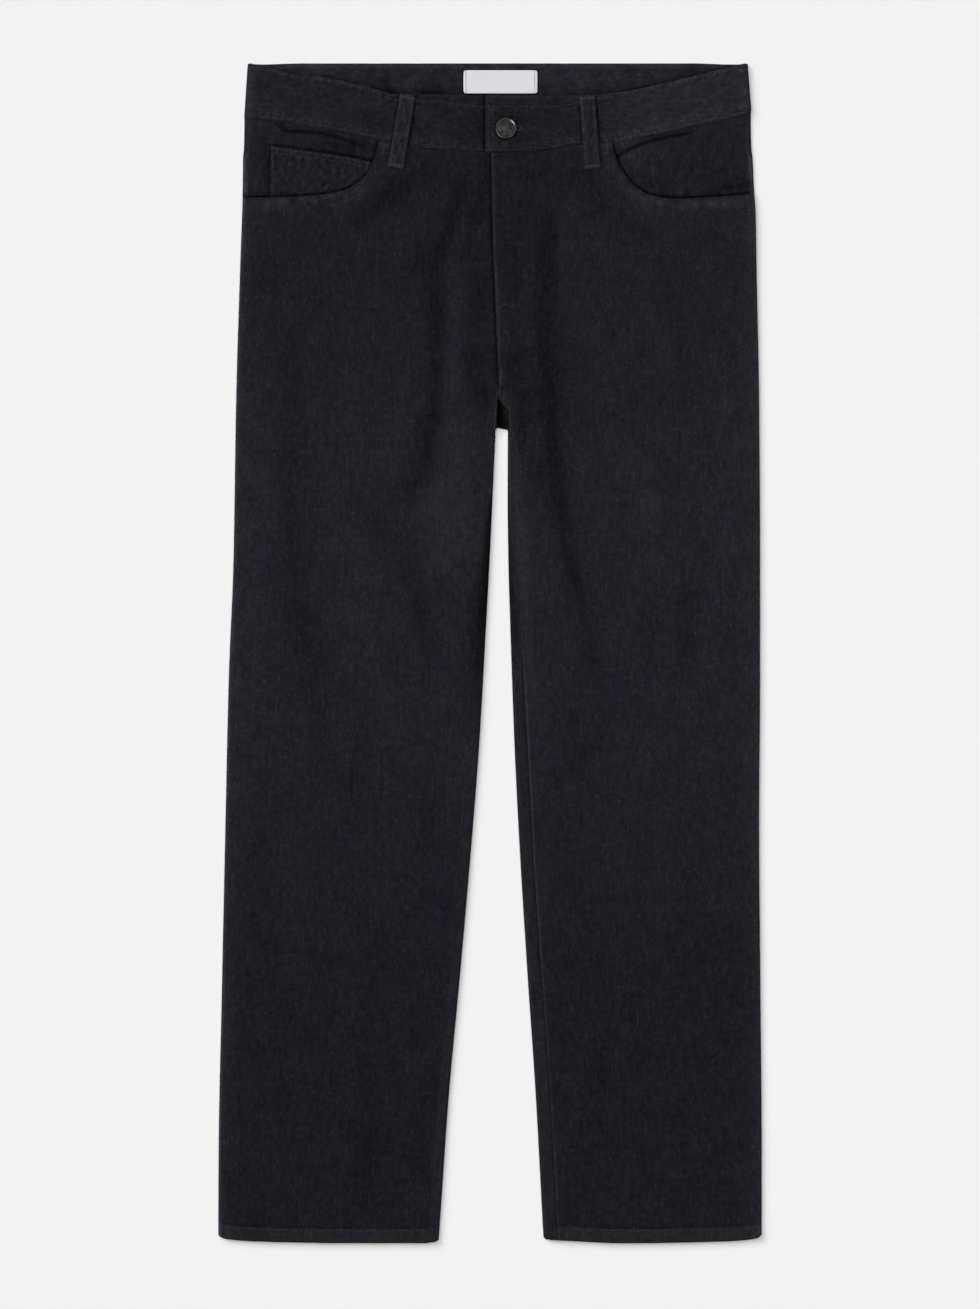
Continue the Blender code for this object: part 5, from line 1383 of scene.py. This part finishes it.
LAP_ROWS = (2.8, 6.4)
# How far below the front's top edge its stitches run: x, distance
FRONT_TOP_ROW = ((-208.0, 2.6), (-104.0, 2.8), (-80.0, 5.0), (-40.0, 7.4), (0.0, 9.6), (40.0, 9.6),
                 (66.0, 8.0), (92.0, 3.4), (222.0, 2.6))
BAND_DOWN = (stepped((0.0, 0.6), (8.0, 1.6), (21.0, 3.2), (37.0, 1.6), (44.0, 0.6)) / 44.0)[:, None]
BAND_TURN = np.radians(np.linspace(10.0, 170.0, 15))


def band_side_fold(side, upwards):
    """The band's half turn round a side fold: x, top, bottom, z and how far its top leans in."""
    sign = SIDES[side]
    turn = BAND_TURN[::-1] if upwards else BAND_TURN
    radius = BAND_TOP / 2
    x = BAND_FOLD_X[side] - sign * radius * (1 - np.sin(turn))
    share = (1 - np.cos(turn)) / 2
    bottom = band_bottom_edge(x) * (1 - share) + back_band_bottom(x) * share
    return x, BACK_TOP_Y + 0 * x, bottom, radius * (1 + np.cos(turn)), sign * FOLD_LEAN + 0 * x


left_x = stepped((LAP_END_X, 0.7), (12.0, 1.6), (214.0, 1.8))
back_x = -stepped((-214.0, 2.4), (200.0, 2.4))
right_x = stepped((-200.0, 1.8), (20.0, 1.8), (UNDER_END_X, 1.0))
lift = BACK_LIFT * ramp(back_x, 206.0, 176.0) * ramp(back_x, -194.0, -164.0)
over = BAND_TOP + (BAND_OVER_TOP - BAND_TOP) * ramp(left_x, *LAP_REACH)
under = BAND_TOP + (BAND_UNDER_TOP - BAND_TOP) * ramp(right_x, *UNDER_REACH)
stretches = (
    (left_x, band_top_edge(left_x), band_bottom_edge(left_x), over, 0 * left_x),
    band_side_fold("left", False),
    (back_x, BACK_TOP_Y + 0.8 * lift / BACK_LIFT, back_band_bottom(back_x), lift, 0 * back_x),
    band_side_fold("right", True),
    (right_x, band_top_edge(right_x), band_bottom_edge(right_x), under, 0 * right_x),
)
x0, top, bottom, z0, lean = (np.concatenate(values) for values in zip(*stretches))
facing_up = np.concatenate([np.full(len(part[0]), value)
                            for part, value in zip(stretches, (1.0, 0.0, -1.0, 0.0, 1.0))])
x = x0 - lean * (1 - BAND_DOWN)
y = top + (bottom - top) * BAND_DOWN
from_top = BAND_DOWN * (top - bottom)
from_bottom = (1 - BAND_DOWN) * (top - bottom)
on_lap = np.arange(len(x0)) < len(left_x)
from_end = np.where(on_lap, x - LAP_END_X, FAR)
beneath = np.where(np.arange(len(x0)) >= len(x0) - len(right_x), ramp(x, -16.0, -6.0), 0.0)
full = 0.32 * np.sin(math.pi * BAND_DOWN)
puffs = 0.16 * ripple(x, y, 9.0, 61, 1.0) + 0.12 * ripple(x, y, 26.0, 62, 1.0)
top_row = np.where(facing_up > 0, smooth_curve(FRONT_TOP_ROW)(x), BAND_TOP_ROW)
near_rows = bell(from_top, top_row, 3.5) + bell(from_bottom, 4.0, 4.0)
pucker = 0.11 * near_rows * np.sin(1.25 * x + 0.9 * y + 2.5 * ripple(x, y, 30.0, 63, 1.0))
rows_dip = 0.30 * bell(from_top, top_row, 0.8) + 0.34 * bell(from_bottom, BAND_BOTTOM_ROW, 0.8) \
    + sum(0.28 * bell(from_end, row, 0.8) for row in LAP_ROWS)
brink = 0.8 * fade(from_top, 0.7) + 0.5 * fade(from_bottom, 0.6) + 0.8 * fade(from_end, 0.7)
from_button = np.hypot(x - BUTTON_PLACE[0], y - BUTTON_PLACE[1])
relief = (full + puffs + pucker) * (1 - beneath) * ramp(from_end, 0.0, 3.0) - rows_dip - brink \
    - 0.25 * beneath - 0.35 * bell(from_button ** 2, 0, 60.0) * on_lap
z = np.maximum(z0 + relief * facing_up, 0.0)
wall = BAND_WALL + np.where(facing_up < 0, 0.5 * (full + puffs) - rows_dip * 0.6, 0.0)
# Lighter along the band's edges and the lap's end: worn in part, and in part a painted highlight on the
# round brinks
wear_and_edge_light = 0.17 * bell(from_top, 0.8, 1.5) + 0.20 * fade(from_bottom, 0.6) + 0.14 * bell(from_end, 0.8, 1.0) \
    + 0.09 * bell(from_end, 4.6, 1.4) + 0.085 * bell(from_bottom, 6.2, 2.2) \
    - 0.09 * bell(from_top, 1.5, 2.0) * ramp(x, -72.0, -60.0) * ramp(x, -8.0, -20.0)
# Lighter towards the wearer's left, with painted light round each side fold
side_light = 0.143 * ramp(x, 70.0, 140.0) + 0.042 * ramp(x, -90.0, -150.0) - 0.022
for fold in BAND_FOLD_X.values():
    side_light += 0.16 * bell(np.abs(x - fold), 0, 2.4) \
        + 0.06 * bell(np.abs(x - fold), 6.0, 5.0)
# Painted shade beside the lap's end and in a ring round the button, and a little darker in the middle
under_lap = np.where(facing_up * (1 - on_lap) > 0, np.abs(np.minimum(x - LAP_END_X, 0.0)), FAR)
outer_tone = wear_and_edge_light + side_light - 0.7 * bell(under_lap, 0, 1.5) \
    - 0.12 * fade(under_lap, 7.0) - 0.035 * ramp(np.abs(x - 10.0), 70.0, 30.0) \
    - 0.35 * bell(from_button, 9.4, 1.0)
# Painted shade along both sides of each front loop
for place in FRONT_LOOPS.values():
    path = ((place.top_x, place.top_y + 2.0), (place.bottom_x, place.bottom_y))
    off_loop = np.abs(from_path(x, y, path)[0] - LOOP_WIDTH / 2 - 0.6)
    outer_tone -= 0.36 * bell(off_loop, 0, 0.9)
# Inside of the back layer: the front layer's shadow painted above its top edge, painted shade beneath that,
# and a painted highlight along the top fold
above_front = np.maximum(y - band_top_edge(x), 0.0)
contact_shadow = 0.24 * (1 - ramp(x, -16.0, 0.0) * ramp(x, 76.0, 60.0))
inner_tone = 0.07 + 0.03 * ramp(x, -20.0, 60.0) + 0.02 * ramp(x, -80.0, -112.0) \
    + 0.13 * ramp(x, -116.0, -142.0) + 0.025 * ripple(x, y, 24.0, 67, 1.0) \
    + 0.018 * ripple(x, y, 12.0, 68, 1.0) \
    - contact_shadow * fade(above_front, 1.6) - 0.10 * fade(above_front, 7.0) \
    - 0.10 * bell(above_front, 4.0, 3.0) * ramp(x, -72.0, -60.0) * ramp(x, -14.0, -24.0) \
    + 0.16 * ramp(y, 502.2, 504.2) + 0.04 * ripple(x, y, 30.0, 64, 3.0)
streaked = ramp(x, 50.0, 76.0) * ramp(x, 176.0, 140.0) * bell(from_bottom, 3.5, 3.0)
slant = np.sin(1.7 * x + 0.5 * y + 3.0 * ripple(x, y, 24.0, 65, 1.0))
drawn = near_rows * (slant * (0.09 + 0.08 * streaked) + 0.07 * ripple(x, y, 5.0, 66, 1.0)) + 0.08 * streaked
# The side folds are painted lighter all over
tone = np.where(facing_up > 0, outer_tone + drawn, np.where(facing_up < 0, wear_and_edge_light + drawn, 0.24))
# Painted light and shade that follow the puffs and puckers
loose = 0.16 * puffs + 0.4 * pucker
band = shell("waistband_strip", np.dstack((x, y, z)), wall, np.dstack((y, x)), tone + loose, ink_denim,
             flip=True, bulge=0.45, lining=inner_tone + loose)
stands_for(band, "waistband")


def edge_rows(stretch, depth):
    """Rows of stitches along one layer of the band, depth below its top edge and just above its foot."""
    x, top, bottom, _, _ = stretch
    return [np.stack((x, top - depth), axis=1), np.stack((x, bottom + BAND_BOTTOM_ROW), axis=1)]


rows = [row[2:] for row in edge_rows(stretches[0], smooth_curve(FRONT_TOP_ROW)(left_x))]
rows += [row[:-20] for row in edge_rows(stretches[4], smooth_curve(FRONT_TOP_ROW)(right_x))]
rows += [np.array([(LAP_END_X + row, end) for end in (473.0, 434.0)]) for row in LAP_ROWS]
sewn = stitches("stitching_waistband", rows, band, charcoal_thread, seed=38)
slit_y = BUTTON_PLACE[1]
slit = np.linspace(5.0, 25.0, 40)
whip = [np.array(((x, slit_y + s * 0.3), (x, slit_y + s * 2.7))) for x in slit for s in (-1, 1)]
whip += [np.array([(25.2 + reach * math.cos(a), slit_y + reach * math.sin(a)) for reach in (0.3, 2.7)])
         for a in np.radians(np.linspace(-80.0, 80.0, 12))]
buttonhole = stitches("stitching_buttonhole", whip, band, charcoal_thread, share=0.95, thick=0.45, seed=39)
sewn_below = stitches("stitching_waistband_back", edge_rows(stretches[2], BAND_TOP_ROW), band,
                      charcoal_thread, up=-1.0, seed=40)

# ---------------------------------------------------------------- Belt loops
# Five narrow folded strips, stitched along both edges. Each is held by a bar of close stitches at both
# ends. The front two stand a little proud of the band, and the back three lie beneath the garment.
def belt_loop(node, place, on_top):
    """A loop from its place: the strip follows the straight line between its ends."""
    share = stepped((0.0, 0.012), (0.1, 0.03), (0.9, 0.03), (1.0, 0.012))[:, None]
    across = np.linspace(-0.5, 0.5, 17) * LOOP_WIDTH
    x = place.top_x + (place.bottom_x - place.top_x) * share
    y = place.top_y + (place.bottom_y - place.top_y) * share
    run = math.hypot(place.bottom_x - place.top_x, place.bottom_y - place.top_y)
    side_x, side_y = (place.top_y - place.bottom_y) / run, (place.bottom_x - place.top_x) / run
    px, py = x + across * side_x, y + across * side_y
    from_edge = LOOP_WIDTH / 2 - np.abs(across)
    held = sum(bell(share, end, 0.02) for end in LOOP_BARS)
    relief = 0.30 * bell(from_edge, 1.2, 1.1) - 0.7 * fade(from_edge, 0.5) \
        - 0.16 * bell(from_edge, 2.4, 0.8) + 0.05 * ripple(px, py, 6.0, 71, 1.0) - 0.35 * held \
        - 0.7 * fade(share * run, 0.6) - 0.7 * fade((1 - share) * run, 0.6)
    if on_top:
        on_band = ramp(y, band_bottom_edge(x) - 6.0, band_bottom_edge(x) + 1.0)
        rest = HIP_TOP + (BAND_TOP - HIP_TOP) * on_band
        arch = 0.9 * ramp(share, 0.06, 0.3) * ramp(share, 0.9, 0.6)
        z = rest + 0.35 + arch + LOOP_WALL + relief
    else:
        z = np.maximum(-0.6 * relief - 0.2 + 0 * px, 0.0)
    tone = (0.12 if place.top_x < 0 else 0.05) + 0.22 * fade(from_edge, 1.0) - 0.05 * bell(across, 0, 2.5) \
        - 0.07 * bell(from_edge, 2.9, 0.6) + 0.24 * held + 0.06 * ripple(px, py, 6.0, 72, 1.5)
    loop = shell(node + "_strip", np.dstack((px, py, z)), LOOP_WALL if on_top else BACK_LOOP_WALL,
                 np.dstack((px + place.top_x * 9, py)), tone, ink_denim, flip=on_top, bulge=0.3)
    stands_for(loop, node)
    start, end = np.array(place).reshape(2, 2)
    sideways = np.array((side_x, side_y))
    rows = [start + (end - start) * np.array((0.03, 0.97))[:, None] + sideways * row for row in LOOP_ROWS]
    for bar in LOOP_BARS:
        rows += bar_tack(*(start + (end - start) * bar), LOOP_WIDTH - 1.6,
                         math.degrees(math.atan2(side_y, side_x)))
    sewn = stitches("stitching_" + node, rows, loop, charcoal_thread, up=1.0 if on_top else -1.0,
                    pitch=2.8, thick=0.55, seed=42)


for places, on_top in ((FRONT_LOOPS, True), (BACK_LOOPS, False)):
    for node, place in places.items():
        belt_loop(node, place, on_top)

# ---------------------------------------------------------------- Neck label
# A bare woven satin ribbon inside the back of the waistband. Both its ends are folded under and
# stitched down.
LABEL_SIZE = (63.6, 20.0)
LABEL_PLACE = (9.0, 491.5)
LABEL_TOP = 5.3
LABEL_WALL = 0.8
LABEL_END = 2.2            # width of its folded ends
SATIN_TONES = ((0.0, (128, 127, 133)), (1.0, (222, 221, 227)))
WHITE_THREAD_TONES = ((0.25, (150, 149, 154)), (0.75, (196, 195, 200)))

satin, tree, shader = new_material("label_satin", {
    "Roughness": 0.5, "Specular IOR Level": 0.3, "Sheen Weight": 0.15})
place = place_on_cloth(tree)
threads = add_node(tree, "ShaderNodeTexWave", {"Vector": place, "Scale": 0.55 / MM, "Distortion": 0.8,
                                               "Detail": 1.0}, bands_direction="Y")
mixed = calculate(tree, "MULTIPLY_ADD", threads.outputs["Fac"], 0.08, given_tone(tree))
tree.links.new(colour_ramp(tree, mixed, SATIN_TONES), shader.inputs["Base Color"])
add_bump(tree, shader, threads.outputs["Fac"], 0.08, 0.4)

half_width, half_height = LABEL_SIZE[0] / 2, LABEL_SIZE[1] / 2
x = np.concatenate((stepped((-half_width, 0.35), (-half_width + 4, 0.6), (0.0, 3.0)),
                    stepped((0.0, 3.0), (half_width - 4, 0.6), (half_width, 0.35))[1:]))[None, :]
y = stepped((-half_height, 0.5), (0.0, 1.6), (half_height, 0.5))[:, None]
from_end = half_width - np.abs(x)
from_side = half_height - np.abs(y)
corner = fade(from_end + 0 * y, 1.2) * fade(from_side, 1.2)
relief = -0.3 * bell(from_end, LABEL_END, 0.45) - 0.3 * fade(np.minimum(from_end, from_side), 0.4) \
    + 0.08 * ripple(x, y, 16.0, 81, 1.0) - 0.08
px = LABEL_PLACE[0] + x - np.sign(x) * corner * 0.6
py = LABEL_PLACE[1] + y - np.sign(y) * corner * 0.6
# Painted shade along the fold of each end, uneven along it
tone = 0.90 - 0.9 * bell(from_end, LABEL_END, 0.4) * (0.7 + 0.3 * np.sin(y * 0.35 + np.sign(x)))
label = shell("neck_label", np.dstack((px, py, LABEL_TOP + relief)), LABEL_WALL,
              np.dstack((px, py)), tone, satin, flip=False, bulge=0.1)
stands_for(label, "label")
white_thread = thread_cotton("white_thread", WHITE_THREAD_TONES)
rows = [np.array([(s * (half_width - LABEL_END), half_height * t - t) for t in (-1, 1)]) + LABEL_PLACE
        for s in (-1, 1)]
sewn = stitches("stitching_label", rows, label, white_thread, pitch=1.8, thick=0.3, seed=43)

# ---------------------------------------------------------------- Shank button
# A turned button of antique gunmetal: a foot riveted through the band, a dished face with a plain ring
# and a low boss, and a raised rim.
BUTTON_STEPS = 96
# Turned outline: radius, height
BUTTON_PROFILE = (
    (0.0, 3.12), (1.4, 3.1), (2.6, 3.02), (3.4, 2.86), (4.2, 2.8), (4.9, 2.86), (5.4, 3.0), (5.9, 3.05),
    (6.4, 2.98), (6.8, 2.86), (7.2, 2.92), (7.6, 3.3), (8.0, 3.74), (8.4, 3.9), (8.75, 3.74),
    (8.95, 3.35), (9.0, 2.8), (8.85, 2.25), (8.4, 1.8), (7.4, 1.45), (5.6, 1.3), (4.4, 1.2),
    (4.2, 0.9), (4.2, 0.0), (0.0, 0.0),
)
radius, height = np.array(BUTTON_PROFILE[1:-1]).T
turn = np.linspace(0, 2 * math.pi, BUTTON_STEPS, endpoint=False)[:, None]
ring_points = np.dstack((radius * np.cos(turn), radius * np.sin(turn), height + 0 * turn)).reshape(-1, 3)
ends = np.array(((0.0, 0.0, BUTTON_PROFILE[0][1]), (0.0, 0.0, 0.0)))
points = np.concatenate((ring_points, ends)) + BUTTON_PLACE
index = np.arange(len(ring_points)).reshape(BUTTON_STEPS, -1)
after = np.roll(index, -1, axis=0)
quads = np.stack((index[:, :-1], index[:, 1:], after[:, 1:], after[:, :-1]), -1).reshape(-1, 4)
top_fan = [(len(ring_points), a, b) for a, b in zip(index[:, 0], after[:, 0])]
foot_fan = [(len(ring_points) + 1, b, a) for a, b in zip(index[:, -1], after[:, -1])]
button = mesh_object("shank_button", points, quads.tolist() + top_fan + foot_fan, gunmetal)
# Darker in its groove and ring, as old plating is in its hollows, and round the outside of its rim
hollows_and_wall = bell(radius, 4.2, 0.5) + 0.8 * bell(radius, 6.9, 0.4) + ramp(radius, 8.8, 9.0)
set_tone(button.data, np.concatenate((np.tile(0.06 - 0.16 * hollows_and_wall, BUTTON_STEPS), (0.06, 0.0))))
stands_for(button, "button")
